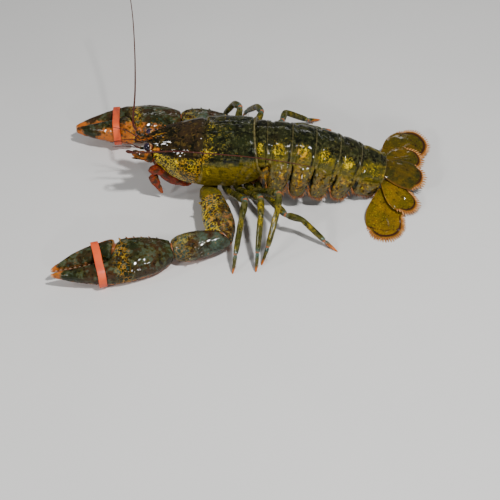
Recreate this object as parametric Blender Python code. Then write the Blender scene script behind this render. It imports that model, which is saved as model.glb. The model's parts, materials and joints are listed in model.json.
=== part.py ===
"""American lobster, standing on its legs with both claws banded, as separate shell pieces.

The head points to -X, the tail to +X, the left side to -Y, and the floor is z = 0.
Sizes below are in millimetres and angles in degrees; UNIT turns them into metres.
"""

import math
import random

import bpy
import bmesh
from mathutils import Vector
from mathutils.geometry import convex_hull_2d

UNIT = 0.001
GAP = 0.3                     # left between pieces that touch
LEFT, RIGHT = -1, 1
SIDES = {"l": LEFT, "r": RIGHT}

# Carapace: stations run from the rear edge at x = 0 to the orbits
CARAPACE_LENGTH = 85.0
CARAPACE_FLANK = 0.42         # height of the widest line, as a share of the depth
CARAPACE_HEM = 0.80           # half width at the lower edge, as a share of the widest
GROOVE_DEPTH = 1.4
RIM_WALL = 1.9
RIM_POCKET = 0.9
RIM_CENTRE_HEIGHT = 46.0      # the rear rim narrows towards this height on the midline
ROSTRUM_TIP_HEIGHT = 54.5
BROW_SPINES = (-79.5, -73.0)  # behind each eye
BROW_HEIGHT = 0.86            # as a share of the carapace's height
CHEEK_SPINE = -80.0
TEMPLE_SPINE, TEMPLE_HEIGHT = -79.0, 0.63

# Head
EYE_RADIUS = 3.6
EYE_PLACE = (-88.6, 9.6, 54.2)
ORBIT_RADIUS = 5.9

# Thorax underside
STERNUM_HALF = 12.0
STERNUM_BOTTOM = 12.2
STERNUM_FRONT, STERNUM_REAR = -48.0, 4.5
COXA_HEIGHT = 16.3
COXA_END = 22.0               # distance from the midline where the hip ends

# Abdomen: joints between its rings
ABDOMEN_X = (-0.6, 9.0, 28.0, 46.2, 65.0, 82.0, 103.5)
ABDOMEN_Z = (48.0, 47.6, 45.0, 41.2, 35.6, 28.6, 19.8)
ABDOMEN_ROLL = (0.0, -1.5, -3.0, -3.0, -2.0, 3.0, 10.0)
ABDOMEN_HALF = (22.6, 22.8, 22.4, 21.8, 20.8, 19.2, 16.4)
ABDOMEN_ARCH = (18.6, 18.8, 18.6, 18.0, 16.8, 15.0, 11.0)
PLEURON_DEPTH = (5.5, 30.0, 30.5, 29.0, 25.5, 16.5)
PLEURON_FLARE = (0.3, 5.0, 5.0, 4.6, 3.8, 2.6)

# Tail fan
FAN_PITCH = 15.0
FAN_ROLL = 15.0
FAN_TEETH = 9
FAN_SPLAY = {"l": (38, 83), "r": (21, 46)}      # of the inner and the outer plate
FAN_BACK = {"l": (0.12, 1.60), "r": (0.39, 0.25)}     # clear of the last ring; the fan leans to the left

# Walking legs: hip place, headings from straight out towards the tail, and rises
LEG_LENGTHS = {"thigh": 47.0, "wrist": 16.0, "hand": 29.0, "toe": 16.0}
LEG_SIZES = {"hip": 4.3, "thigh": 3.5, "wrist": 3.2, "hand": 2.8, "toe": 1.65}
LEG_SIDES = 8
LEGS = {
    "leg2_l": dict(x=-27.0, scale=1.00, rise=29, drop=20, turn=(24, -10, -14, -16), toe_drop=56),
    "leg3_l": dict(x=-17.5, scale=1.00, rise=30, drop=18, turn=(28, 0, -8, -10), toe_drop=56),
    "leg4_l": dict(x=-8.5, scale=1.00, rise=32, drop=20, turn=(36, -5, -25, -35), toe_drop=55),
    "leg5_l": dict(x=0.0, scale=0.86, rise=6, drop=6, turn=(31, 72, 60, 54), toe_drop=22),
    "leg2_r": dict(x=-27.0, scale=1.00, rise=33, drop=22, turn=(14, -24, -34, -40), toe_drop=58),
    "leg3_r": dict(x=-17.5, scale=1.00, rise=25, drop=18, turn=(24, -18, -26, -30), toe_drop=50),
    "leg4_r": dict(x=-8.5, scale=1.00, rise=13, drop=10, turn=(33, 8, 60, 56), toe_drop=24),
    "leg5_r": dict(x=0.0, scale=0.86, rise=7, drop=8, turn=(30, 66, 60, 54), toe_drop=28),
}
TOE_FLAT = 0.7

# Claw arms: hip place, elbow and wrist, for the left side; the right side differs a little
ARM_HIP_X = -38.0
ARMS = {
    "l": dict(knee=(-37.0, 33.0, 19.5), elbow=(-25.0, 77.0, 13.5), wrist=(-66.0, 87.0), turn=17.0),
    "r": dict(knee=(-37.5, 33.0, 19.5), elbow=(-31.0, 75.0, 14.5), wrist=(-71.0, 79.0), turn=-7.0),
}
WRIST_SPINES = (              # share along the wrist piece, place outwards, height over its middle
    (0.35, 6.0, 6.8), (0.55, 8.0, 6.8), (0.76, 8.0, 6.4), (0.6, 0.0, 9.2), (0.8, -1.0, 8.8),
    (0.45, 10.6, 1.0), (0.68, 10.8, 1.0))
CLAW_ROLL = 12.0
CLAW_LIFT = 0.018             # rise of the claws towards their tips
CLAWS = {
    "l": dict(length=98.0, width=1.00, depth=1.00, teeth="cutter"),
    "r": dict(length=96.0, width=1.22, depth=1.22, teeth="crusher"),
}
BAND_WIDTH = 6.5
BAND_THICK = 1.1
BAND_PLACE = 0.60             # along the claw

COLOURS = {
    "shell_dark": (0.030, 0.033, 0.018),
    "tail_amber": (0.200, 0.120, 0.020),
    "leg_olive": (0.130, 0.130, 0.045),
    "claw_brown": (0.085, 0.035, 0.014),
    "feeler_red": (0.100, 0.018, 0.010),
    "mouth_orange": (0.420, 0.075, 0.020),
    "belly_cream": (0.400, 0.260, 0.120),
    "eye_black": (0.010, 0.006, 0.014),
    "rubber_salmon": (0.800, 0.190, 0.080),
}
ROUGHNESS = {"eye_black": 0.1, "rubber_salmon": 0.55, "belly_cream": 0.45}


def profile(*keys):
    """Smooth function through (place, value) keys, flat beyond both ends."""
    slopes = []
    for index in range(len(keys)):
        low, high = max(index - 1, 0), min(index + 1, len(keys) - 1)
        slopes.append((keys[high][1] - keys[low][1]) / (keys[high][0] - keys[low][0]))

    def value(place):
        place = min(max(place, keys[0][0]), keys[-1][0])
        index = 0
        while index < len(keys) - 2 and place > keys[index + 1][0]:
            index += 1
        (x0, y0), (x1, y1) = keys[index], keys[index + 1]
        span = x1 - x0
        t = (place - x0) / span
        ease = t * t * (3 - 2 * t)
        return (y0 * (1 - ease) + y1 * ease + span * (slopes[index] * (t - 2 * t * t + t ** 3)
                + slopes[index + 1] * (t ** 3 - t * t)))
    return value


def blend(first, second, share):
    return first + (second - first) * share


def heading(degrees, side, rise=0.0):
    """Direction from straight out at a side, turned towards the tail and raised."""
    turn, lift = math.radians(degrees), math.radians(rise)
    level = math.cos(lift)
    return Vector((math.sin(turn) * level, side * math.cos(turn) * level, math.sin(lift)))


class Frame:
    """A point with forward, side and up directions; headed forward, side is the right side."""

    def __init__(self, origin, forward, up=(0, 0, 1)):
        self.origin = Vector(origin)
        self.forward = Vector(forward).normalized()
        self.side = self.forward.cross(Vector(up)).normalized()
        self.up = self.side.cross(self.forward)

    def at(self, along, side, up):
        return self.origin + self.forward * along + self.side * side + self.up * up

    def ring(self, outline, along=0.0):
        return [self.at(along, side, up) for side, up in outline]


def signed_power(value, power):
    return math.copysign(abs(value) ** power, value)


def oval(half_side, half_up, count, power=1.0):
    """Points round an oval; a power below 1 makes it boxier."""
    points = []
    for index in range(count):
        angle = math.tau * index / count
        points.append((half_side * signed_power(math.cos(angle), power),
                       half_up * signed_power(math.sin(angle), power)))
    return points


def path_frames(points, up=(0, 0, 1)):
    """One frame at each point of a path, halving the bend there."""
    points = [Vector(point) for point in points]
    frames = []
    for index, point in enumerate(points):
        before = (point - points[max(index - 1, 0)])
        after = (points[min(index + 1, len(points) - 1)] - point)
        forward = before.normalized() + after.normalized()
        frames.append(Frame(point, forward, up))
    return frames


def curve_points(keys, count):
    """Evenly spaced points of a smooth curve through key points."""
    keys = [Vector(key) for key in keys]
    ends = [keys[0] * 2 - keys[1]] + keys + [keys[-1] * 2 - keys[-2]]
    fine, steps = [], 16
    for index in range(1, len(ends) - 2):
        a, b, c, d = ends[index - 1:index + 3]
        for step in range(steps):
            t = step / steps
            fine.append(0.5 * ((2 * b) + (c - a) * t + (2 * a - 5 * b + 4 * c - d) * t * t
                               + (3 * b - a - 3 * c + d) * t ** 3))
    fine.append(keys[-1])
    travelled = [0.0]
    for first, second in zip(fine, fine[1:]):
        travelled.append(travelled[-1] + (second - first).length)
    picked, cursor = [], 0
    for index in range(count):
        target = travelled[-1] * index / (count - 1)
        while cursor < len(fine) - 2 and travelled[cursor + 1] < target:
            cursor += 1
        share = (target - travelled[cursor]) / (travelled[cursor + 1] - travelled[cursor])
        picked.append(fine[cursor].lerp(fine[cursor + 1], share))
    return picked


def material(name):
    """The Principled material of a colour name, made once."""
    made = bpy.data.materials.get(name)
    if made is None:
        made = bpy.data.materials.new(name)
        made.use_nodes = True
        shader = made.node_tree.nodes["Principled BSDF"]
        shader.inputs["Base Color"].default_value = (*COLOURS[name], 1.0)
        shader.inputs["Roughness"].default_value = ROUGHNESS.get(name, 0.3)
        shader.inputs["Metallic"].default_value = 0.0
    return made


def skin(name, rings, floor=False, hollowed=False):
    """Closed mesh object through rings of points, its two ends filled round a middle point.

    The ends of a hollowed section are cut into triangles that keep to its outline instead."""
    mesh = bmesh.new()
    rows = []
    for points in rings:
        row = []
        for point in points:
            height = max(point.z, 0.0) if floor else point.z
            row.append(mesh.verts.new(Vector((point.x, point.y, height)) * UNIT))
        rows.append(row)
    count = len(rows[0])
    for first, second in zip(rows, rows[1:]):
        for index in range(count):
            following = (index + 1) % count
            mesh.faces.new((first[index], first[following], second[following]))
            mesh.faces.new((first[index], second[following], second[index]))
    if hollowed:
        ends = [mesh.faces.new(row) for row in (rows[0], rows[-1])]
        bmesh.ops.triangulate(mesh, faces=ends, ngon_method="EAR_CLIP")
    else:
        for row in (rows[0], rows[-1]):
            middle = mesh.verts.new(sum((vert.co for vert in row), Vector()) / count)
            for index in range(count):
                mesh.faces.new((row[index], row[(index + 1) % count], middle))
    bmesh.ops.recalc_face_normals(mesh, faces=mesh.faces)
    return to_object(name, mesh)


def to_object(name, mesh):
    data = bpy.data.meshes.new(name)
    mesh.to_mesh(data)
    mesh.free()
    made = bpy.data.objects.new(name, data)
    bpy.context.scene.collection.objects.link(made)
    return made


def spike(base, tip, radius, sides=5):
    """A thin cone from a sunk base to its tip."""
    base, tip = Vector(base), Vector(tip)
    up = (0, 0, 1) if abs((tip - base).normalized().z) < 0.9 else (1, 0, 0)
    frame = Frame(base, tip - base, up)
    mesh = bmesh.new()
    foot = [mesh.verts.new(point * UNIT) for point in frame.ring(oval(radius, radius, sides))]
    point = mesh.verts.new(tip * UNIT)
    for index in range(sides):
        mesh.faces.new((foot[index], foot[(index + 1) % sides], point))
    mesh.faces.new(foot)
    bmesh.ops.recalc_face_normals(mesh, faces=mesh.faces)
    return to_object("spike", mesh)


def knob(centre, radius, squash=0.8):
    """A low rounded tooth."""
    mesh = bmesh.new()
    bmesh.ops.create_icosphere(mesh, subdivisions=1, radius=radius * UNIT)
    for vert in mesh.verts:
        vert.co.z *= squash
        vert.co += Vector(centre) * UNIT
    return to_object("knob", mesh)


def boolean(main, others, operation, solver="EXACT"):
    """Joins or cuts the main piece with the others, which are used up."""
    group = bpy.data.collections.new("pieces")
    bpy.context.scene.collection.children.link(group)
    for other in others:
        bpy.context.scene.collection.objects.unlink(other)
        group.objects.link(other)
    modifier = main.modifiers.new("Join", "BOOLEAN")
    modifier.operation = operation
    modifier.operand_type = "COLLECTION"
    modifier.collection = group
    modifier.solver = solver
    graph = bpy.context.evaluated_depsgraph_get()
    joined = bpy.data.meshes.new_from_object(main.evaluated_get(graph))
    main.modifiers.clear()
    main.data = joined
    for other in others:
        bpy.data.objects.remove(other, do_unlink=True)
    bpy.data.collections.remove(group)
    keep_largest(main)
    return main


def keep_largest(made):
    """Leaves only the largest closed surface of an object."""
    mesh = bmesh.new()
    mesh.from_mesh(made.data)
    bmesh.ops.triangulate(mesh, faces=mesh.faces)
    waiting = set(mesh.verts)
    groups = []
    while waiting:
        front = [waiting.pop()]
        group = list(front)
        while front:
            for edge in front.pop().link_edges:
                for vert in edge.verts:
                    if vert in waiting:
                        waiting.remove(vert)
                        front.append(vert)
                        group.append(vert)
        groups.append(group)
    groups.sort(key=len)
    for group in groups[:-1]:
        bmesh.ops.delete(mesh, geom=group, context="VERTS")
    mesh.to_mesh(made.data)
    mesh.free()


def finish(made, name, colour, angle=40.0):
    """Names a finished piece and gives it its material and shading."""
    made.name = name
    made.data.name = name
    made.data.materials.clear()
    made.data.materials.append(material(colour))
    made.data.shade_smooth()
    made.data.set_sharp_from_angle(angle=math.radians(angle))
    return made


def fused(name, colour, main, others):
    if others:
        boolean(main, others, "UNION")
    return finish(main, name, colour)


carapace_half = profile((-85, 14.5), (-80, 16.0), (-71, 20.2), (-60, 24.4), (-46, 27.3), (-25, 28.0),
                        (-8, 27.0), (6, 26.0))
carapace_top = profile((-85, 60.0), (-75, 62.6), (-60, 66.0), (-46, 69.0), (-25, 70.4), (-8, 69.6),
                       (6, 68.0))
carapace_low = profile((-85, 41.0), (-80, 36.5), (-71, 29.5), (-60, 25.5), (-46, 23.5), (-20, 22.2),
                       (-8, 24.4), (0, 28.4), (6, 34.5))


def carapace_point(x, height, side, shrink=0.0):
    """Point of the carapace at a height share: 0 at the hem, 1 on the back."""
    half, top, low = carapace_half(x) - shrink, carapace_top(x) - shrink, carapace_low(x)
    middle = low + CARAPACE_FLANK * (top - low)
    if height < CARAPACE_FLANK:
        share = 1 - height / CARAPACE_FLANK
        return Vector((x, side * half * (1 - (1 - CARAPACE_HEM) * share * share), low + (middle - low)
                       * height / CARAPACE_FLANK))
    angle = (height - CARAPACE_FLANK) / (1 - CARAPACE_FLANK) * math.pi / 2
    return Vector((x, side * half * math.cos(angle) ** 0.94, middle + (top - middle)
                   * math.sin(angle) ** 0.94))


def carapace():
    """Back and flanks with the cervical groove, the rostrum and the spines behind the eyes."""
    heights = (0.0, 0.14, 0.28, 0.42, 0.54, 0.65, 0.75, 0.84, 0.92, 1.0)
    loop = [(height, LEFT) for height in heights] + [(h, RIGHT) for h in heights[-2::-1]]
    underside = (0.6, 0.0, -0.6)
    stations = (    # place on the back, sweep of the flanks, and how far the surface sinks
        (-85.0, 0.0, 0.0), (-82.0, 0.0, 0.0), (-76.0, 1.0, 0.0), (-68.0, 0.0, 0.0),
        (-58.0, -3.0, 0.0), (-48.0, -6.0, 0.0), (-43.0, -9.0, 0.0), (-41.0, -9.5, GROOVE_DEPTH),
        (-39.0, -9.0, 0.0), (-28.0, -3.0, 0.0), (-14.0, 1.0, 0.0), (-8.5, 2.6, 0.0), (-4.0, 4.0, 0.0),
        (-2.8, 4.4, 0.7), (-1.6, 4.8, 0.0), (0.0, 5.5, 0.0))

    def ring(place, sweep, sink, inset=0.0):
        points = []
        for height, side in loop:
            x = place + sweep * (1 - height) ** 1.4
            points.append(carapace_point(x, height, side, sink * height + inset))
        hem = points[-1]
        for share in underside:
            points.append(Vector((hem.x, hem.y * share, hem.z)))
        return points

    rings = [ring(*station) for station in stations]
    narrowing = RIM_WALL / carapace_half(0.0)
    rim = [blend(point, Vector((point.x, 0.0, RIM_CENTRE_HEIGHT)), narrowing) for point in rings[-1]]
    floor_x = -RIM_POCKET
    pocket = [Vector((floor_x, point.y, point.z)) for point in rim]
    shell = skin("carapace", rings + [rim, pocket])
    others = [rostrum()]
    for side in SIDES.values():
        for x in BROW_SPINES:
            foot = carapace_point(x, BROW_HEIGHT, side)
            tip = foot + Vector((-3.2, 0.3 * side, 1.5))
            others.append(spike(foot + Vector((1.5, 0, -1.2)), tip, 1.2))
        cheek = carapace_point(CHEEK_SPINE, CARAPACE_FLANK, side)
        tip = cheek + Vector((-4.5, 1.0 * side, 0.6))
        others.append(spike(cheek + Vector((2.0, -1.5 * side, 0)), tip, 1.3))
        temple = carapace_point(TEMPLE_SPINE, TEMPLE_HEIGHT, side)
        tip = temple + Vector((-6.4, 0.4 * side, 0.3))
        others.append(spike(temple + Vector((3.0, -0.6 * side, -0.4)), tip, 1.3))
    boolean(shell, others, "UNION")
    orbits = []
    for side in SIDES.values():
        x, y, z = EYE_PLACE
        mesh = bmesh.new()
        bmesh.ops.create_icosphere(mesh, subdivisions=2, radius=ORBIT_RADIUS * UNIT)
        for vert in mesh.verts:
            vert.co += Vector((x, y * side, z)) * UNIT
        orbits.append(to_object("orbit", mesh))
    boolean(shell, orbits, "DIFFERENCE")
    return finish(shell, "carapace", "shell_dark")


def rostrum():
    """The pointed beak between the eyes, hollow along its top and edged with spines."""
    top = profile((-99, ROSTRUM_TIP_HEIGHT), (-95, 55.2), (-90, 57.2), (-84, 60.4), (-76, 63.3),
                  (-66, 64.9))
    half = profile((-99, 0.5), (-96, 1.6), (-90, 2.9), (-84, 3.9), (-76, 4.4), (-66, 3.2))
    thick = profile((-99, 0.9), (-92, 3.4), (-84, 5.0), (-66, 6.0))
    rings = []
    for x in (-99.0, -96.0, -92.0, -88.0, -84.0, -80.0, -74.0, -66.0):
        high, wide = top(x), half(x)
        rings.append([Vector((x, wide * share, high + lift)) for share, lift in (
            (-1.0, -0.6), (-0.8, 0.4), (0.0, -0.35), (0.8, 0.4), (1.0, -0.6))]
            + [Vector((x, wide * 0.5, high - thick(x))), Vector((x, -wide * 0.5, high - thick(x)))])
    beak = skin("rostrum", rings)
    thorns = []
    for x, reach in ((-93.5, 2.4), (-89.0, 3.0), (-84.5, 3.4), (-79.5, 2.8)):
        for side in SIDES.values():
            foot = Vector((x, side * half(x) * 0.75, top(x) - 0.4))
            thorns.append(spike(foot, foot + Vector((-reach, side * 1.1, 1.5)), 0.95))
    return boolean(beak, thorns, "UNION")


def face():
    """The front of the head under the beak, which carries the feelers and mouthparts."""
    half = profile((-84.4, 11.0), (-79, 9.0), (-62, 8.6), (-50, 8.6))
    bottom = profile((-84.4, 39.0), (-80, 33.5), (-72, 24.5), (-60, 17.5), (-50, 15.0))
    rings = []
    for x in (-84.4, -80.5, -76.0, -71.0, -66.0, -60.0, -54.0, -48.0 - GAP):
        top = carapace_low(x) - GAP
        low = min(bottom(x), top - 1.6)
        wide = min(half(x), carapace_half(x) * CARAPACE_HEM - 1.5)
        middle = (top + low) / 2
        rings.append([Vector((x, wide * side, height)) for side, height in (
            (1.0, middle), (0.9, top), (0.3, top), (-0.3, top), (-0.9, top), (-1.0, middle),
            (-0.55, low), (0.0, low - 0.6), (0.55, low))])
    return finish(skin("face", rings), "face", "mouth_orange")


def sternum():
    """The plates between the legs."""
    rings = []
    for share in (0.0, 0.12, 0.3, 0.5, 0.7, 0.8, 0.87, 0.94, 1.0):
        x = blend(STERNUM_FRONT, STERNUM_REAR, share)
        top = carapace_low(x) - GAP
        belly = STERNUM_BOTTOM + 0.5 * math.cos(share * math.tau * 2.5)
        rings.append([Vector((x, side * STERNUM_HALF, height)) for side, height in (
            (-1.0, belly + 1.5), (-1.0, top), (-0.4, top), (0.4, top), (1.0, top), (1.0, belly + 1.5),
            (0.5, belly), (0.0, belly + 1.0), (-0.5, belly))])
    return finish(skin("sternum", rings), "sternum", "belly_cream")


def eye(tag, side):
    """A round eye on the short stalk that meets the orbit."""
    x, y, z = EYE_PLACE
    centre = Vector((x, y * side, z))
    root = Vector((x + 5.6, (y - 2.2) * side, z - 1.6))
    frame = Frame(centre, root - centre)
    rings = []
    for along, size in ((-3.5, 0.28), (-2.9, 0.62), (-1.8, 0.90), (-0.2, 1.0), (1.4, 0.90), (2.6, 0.68),
                        (3.4, 0.62), (5.1, 0.58)):
        rings.append(frame.ring(oval(EYE_RADIUS * size, EYE_RADIUS * size, 12), along))
    return finish(skin("eye", rings), "eye_" + tag, "eye_black")


PEDUNCLE = ((-85.6, 11.2, 44.6), (-90.6, 12.6, 47.0), (-95.8, 14.0, 50.0), (-100.4, 15.0, 53.0))


def peduncle(tag, side):
    """The jointed base of the long feeler, with its pointed scale."""
    a, b, c, d = (Vector((x, y * side, z)) for x, y, z in PEDUNCLE)
    stops = ((a, 4.3), (a.lerp(b, 0.5), 4.9), (a.lerp(b, 0.9), 4.5), (b.lerp(c, 0.1), 3.7),
             (b.lerp(c, 0.55), 4.1), (b.lerp(c, 0.9), 3.6), (c.lerp(d, 0.12), 2.9), (c.lerp(d, 0.6), 3.1),
             (d, 2.3))
    frames = path_frames([stop for stop, _ in stops])
    frames[0] = Frame(a, (-1, 0, 0))
    rings = [frame.ring(oval(size, size * 0.92, 10)) for frame, (_, size) in zip(frames, stops)]
    scale_root = Vector((-87.5, 14.0 * side, 46.5))
    scale_tip = Vector((-101.0, 19.6 * side, 51.0))
    blade = Frame(scale_root, scale_tip - scale_root)
    plate = []
    for share, wide in ((0.0, 2.0), (0.35, 3.0), (0.7, 2.2), (1.0, 0.35)):
        plate.append([blade.at(share * (scale_tip - scale_root).length, wide * s, 0.7 * u * (1.2 - share))
                      for s, u in ((1, 0), (0.5, 1), (-0.5, 1), (-1, 0), (-0.5, -1), (0.5, -1))])
    return fused("antenna_base_" + tag, "mouth_orange", skin("base", rings), [skin("scale", plate)])


FEELERS = {
    "l": ((-100.9, 15.1, 53.4), (-103.6, 16.3, 55.6), (-104.4, 19.3, 57.6), (-101.0, 22.4, 58.8),
          (-91.0, 23.4, 59.6), (-76.0, 23.0, 60.0), (-60.0, 24.0, 60.8), (-35.0, 28.4, 61.6),
          (-4.0, 31.4, 60.2), (24.0, 34.0, 57.0), (46.0, 36.6, 53.5)),
    "r": ((-100.9, 15.1, 53.4), (-103.2, 17.4, 56.0), (-103.6, 25.0, 60.4), (-103.4, 45.0, 69.0),
          (-104.8, 70.0, 79.5), (-107.0, 94.0, 89.5), (-110.0, 118.0, 99.5), (-114.5, 142.0, 108.5),
          (-120.0, 165.0, 115.0)),
}


def feeler(tag, side):
    """The long feeler, tapered, as two lengths."""
    keys = [Vector((x, y * side, z)) for x, y, z in FEELERS[tag]]
    points = curve_points(keys, 31)
    frames = path_frames(points, (0.3, 0.2, 1.0))
    frames[0] = Frame(points[0], keys[1] - keys[0])
    rings = []
    for index, frame in enumerate(frames):
        size = blend(1.25, 0.36, (index / (len(frames) - 1)) ** 0.8)
        rings.append(frame.ring(oval(size, size, 6)))
    split = 14
    halves = []
    for part, chosen in (("near", rings[:split + 1]), ("far", rings[split:])):
        if part == "far":
            shift = frames[split].forward * GAP
            chosen = [[point + shift for point in chosen[0]]] + chosen[1:]
        name = "feeler_%s_%s" % (part, tag)
        halves.append(finish(skin(name, chosen), name, "feeler_red"))
    return halves


def antennule(tag, side):
    """The small forked feeler beside the beak."""
    root = Vector((-85.4, 4.0 * side, 48.4))
    joint = Vector((-97.0, 5.4 * side, 50.2))
    stem = path_frames([root, root.lerp(joint, 0.4), root.lerp(joint, 0.8), joint])
    stem[0] = Frame(root, (-1, 0, 0))
    sizes = (1.8, 1.9, 1.7, 1.3)
    body = skin("stem", [frame.ring(oval(size, size, 8)) for frame, size in zip(stem, sizes)])
    branches = []
    for tip, bow in (((-119.0, 10.0, 60.0), 3.0), ((-119.0, 3.6, 50.0), 1.2)):
        end = Vector((tip[0], tip[1] * side, tip[2]))
        start = joint.lerp(root, 0.12)
        middle = start.lerp(end, 0.5) + Vector((0, 0, bow))
        points = curve_points([start, middle, end], 7)
        rings = [frame.ring(oval(size, size, 5)) for frame, size in zip(
            path_frames(points), (0.95, 0.85, 0.75, 0.65, 0.55, 0.45, 0.32))]
        branches.append(skin("branch", rings))
    return fused("antennule_" + tag, "feeler_red", body, branches)


def maxilliped(tag, side):
    """The leg-like outer mouthpart, forward under the head and then hanging down."""
    places = ((-56.0, 6.6, 14.2), (-60.0, 8.8, 14.6), (-67.0, 11.8, 20.2), (-74.5, 12.7, 26.8),
              (-80.6, 12.8, 31.8), (-84.6, 12.8, 33.0), (-87.0, 12.6, 28.6), (-86.0, 12.4, 20.8),
              (-83.0, 12.4, 12.8), (-80.6, 12.4, 6.4))
    sizes = (2.6, 3.4, 3.9, 4.0, 3.7, 3.3, 3.0, 2.8, 2.1, 0.7)
    points = [Vector((x, y * side, z)) for x, y, z in places]
    rings = [frame.ring(oval(size * 0.8, size, 8)) for frame, size in zip(path_frames(points), sizes)]
    return finish(skin("maxilliped", rings), "maxilliped_" + tag, "mouth_orange")


def ring_outline(half, arch, depth, flare, lobe):
    """Cross-section of an abdomen ring, from the belly's middle out and over the back."""
    belly = 8.0
    right = [(0.0, -belly), (0.22 * half, -lobe), (0.58 * half, -lobe),
             (half - 3.2, -max(3.0, 0.42 * depth)),
             (half + flare * 0.9 - 1.7, -depth + 0.7), (half + flare * 0.95, -depth),
             (half + flare, -0.68 * depth), (half + flare * 0.62, -0.33 * depth)]
    over = []
    for index in range(9):
        angle = math.pi * index / 8
        over.append((half * math.cos(angle), arch * math.sin(angle) ** 0.92))
    left = [(-side, up) for side, up in reversed(right[1:])]
    return right + over + left


def abdomen_frames():
    """Frames at the joints between the abdomen's rings, headed towards the head."""
    frames = []
    for index, (x, z, roll) in enumerate(zip(ABDOMEN_X, ABDOMEN_Z, ABDOMEN_ROLL)):
        low, high = max(index - 1, 0), min(index + 1, len(ABDOMEN_X) - 1)
        forward = Vector((ABDOMEN_X[low] - ABDOMEN_X[high], 0, ABDOMEN_Z[low] - ABDOMEN_Z[high]))
        if index == 0:
            forward = Vector((-1, 0, 0))
        lean = math.radians(roll)
        frames.append(Frame((x, 0, z), forward, (0, -math.sin(lean), math.cos(lean))))
    return frames


def abdomen():
    """Six rings, each with its side flaps and the swimmerets under it."""
    frames = abdomen_frames()
    stations = (    # share of the ring's length, height, side flap, flare and swimmeret shares
        (0.0, 0.93, 0.58, 0.30, 0.0), (0.1, 0.955, 0.80, 0.55, 0.2), (0.28, 1.0, 0.95, 0.9, 0.5),
        (0.5, 1.0, 1.0, 1.0, 0.8), (0.75, 1.0, 0.99, 1.0, 1.0), (0.9, 1.0, 0.88, 0.9, 0.8),
        (1.0, 0.99, 0.66, 0.7, 0.3))
    made = []
    for index in range(6):
        first, last = frames[index], frames[index + 1]
        rings = []
        for share, height, flap, flare, lobe in stations:
            origin = first.origin.lerp(last.origin, share)
            frame = Frame(origin, first.forward.lerp(last.forward, share), first.up.lerp(last.up, share))
            along = -GAP / 2 if share == 0.0 else GAP / 2 if share == 1.0 else 0.0
            half = blend(ABDOMEN_HALF[index], ABDOMEN_HALF[index + 1], share) * height
            arch = blend(ABDOMEN_ARCH[index], ABDOMEN_ARCH[index + 1], share) * height
            swim = 9.5 + (min(PLEURON_DEPTH[index], 18.0) - 9.0) * 0.62 * lobe
            outline = ring_outline(half, arch, max(PLEURON_DEPTH[index] * flap, 4.5),
                                   PLEURON_FLARE[index] * flare, swim)
            rings.append(frame.ring(outline, along))
        name = "abdomen_%d" % (index + 1)
        made.append(finish(skin(name, rings, hollowed=True), name, "shell_dark", 32.0))
    return made


def fan_outline(length, root, width, teeth):
    """Half widths along a tail plate and round its end, with the fringe as teeth."""
    straight = 0.52 * length
    side = []
    for share in (0.0, 0.3, 0.6, 0.85):
        wide = blend(root, width, math.sin(share * math.pi / 2) ** 1.1)
        side.append((straight * share, wide))
    points = [(along, -wide) for along, wide in side]
    steps = 2 * teeth
    for index in range(steps + 1):
        angle = math.pi * index / steps
        reach = 1.0 + (0.085 if index % 2 else 0.0)
        points.append((straight + (length - straight) * reach * math.sin(angle) ** 0.8,
                       -width * reach * signed_power(math.cos(angle), 0.85)))
    return points + [(along, wide) for along, wide in reversed(side)]


def fan_plate(name, frame, length, root, width, thick, camber):
    """A tail plate: thicker in the middle, thin at its fringed rim."""
    outline = fan_outline(length, root, width, FAN_TEETH)
    centre_along = length * 0.48

    def layer(scale, lift):
        points = []
        for along, side in outline:
            a = centre_along + (along - centre_along) * scale
            s = side * scale
            sag = camber * (s / width) ** 2
            point = frame.at(a, s, lift - sag)
            point.z = max(point.z, 0.3 + lift if lift > 0 else 0.0)
            points.append(point)
        return points

    rings = [layer(0.35, thick * 0.50), layer(0.72, thick * 0.42), layer(0.93, thick * 0.30),
             layer(1.0, 0.25), layer(1.0, -0.25), layer(0.93, -thick * 0.26), layer(0.5, -thick * 0.40)]
    return finish(skin(name, rings), name, "tail_amber", 60.0)


def tail_fan():
    """The telson over the two pairs of side plates, spread wide and leaning to the left."""
    end = Vector((ABDOMEN_X[-1], 0, ABDOMEN_Z[-1]))
    joint = abdomen_frames()[-1]
    pitch = math.radians(FAN_PITCH)
    lean = math.radians(FAN_ROLL)
    rearward = Vector((math.cos(pitch), 0, -math.sin(pitch)))
    up = Vector((math.sin(pitch), -math.sin(lean), math.cos(pitch) * math.cos(lean)))
    base = Frame(end, rearward, up)      # headed to the tail, so its side is the left side
    made = []

    def plate(name, side, out, lift, splay, droop, length, root, width, thick, camber, back=0.39):
        turn = math.radians(splay) * side
        level = base.forward * math.cos(turn) + base.side * -math.sin(turn)
        sink = math.radians(droop)
        forward = level * math.cos(sink) - base.up * math.sin(sink)
        back += (root + 0.15) * abs(math.sin(turn))
        origin = joint.at(-back, side * out, lift)
        frame = Frame(origin, forward, base.up)
        return fan_plate(name, frame, length, root, width, thick, camber)

    made.append(plate("telson", 1, 0.0, 4.0, -5, 2, 37.5, 9.5, 14.2, 3.4, 2.0))
    for tag, side in SIDES.items():
        inner, outer = FAN_SPLAY[tag]
        inner_back, outer_back = FAN_BACK[tag]
        made.append(plate("uropod_inner_" + tag, side, 10.4, -0.6, inner, 3, 39.0, 3.4, 13.0, 2.6, 0.8,
                          inner_back))
        made.append(plate("uropod_outer_" + tag, side, 13.8, -5.0, outer, 7, 59.0, 3.2, 17.0, 2.6, 0.8,
                          outer_back))
    return made


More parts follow.
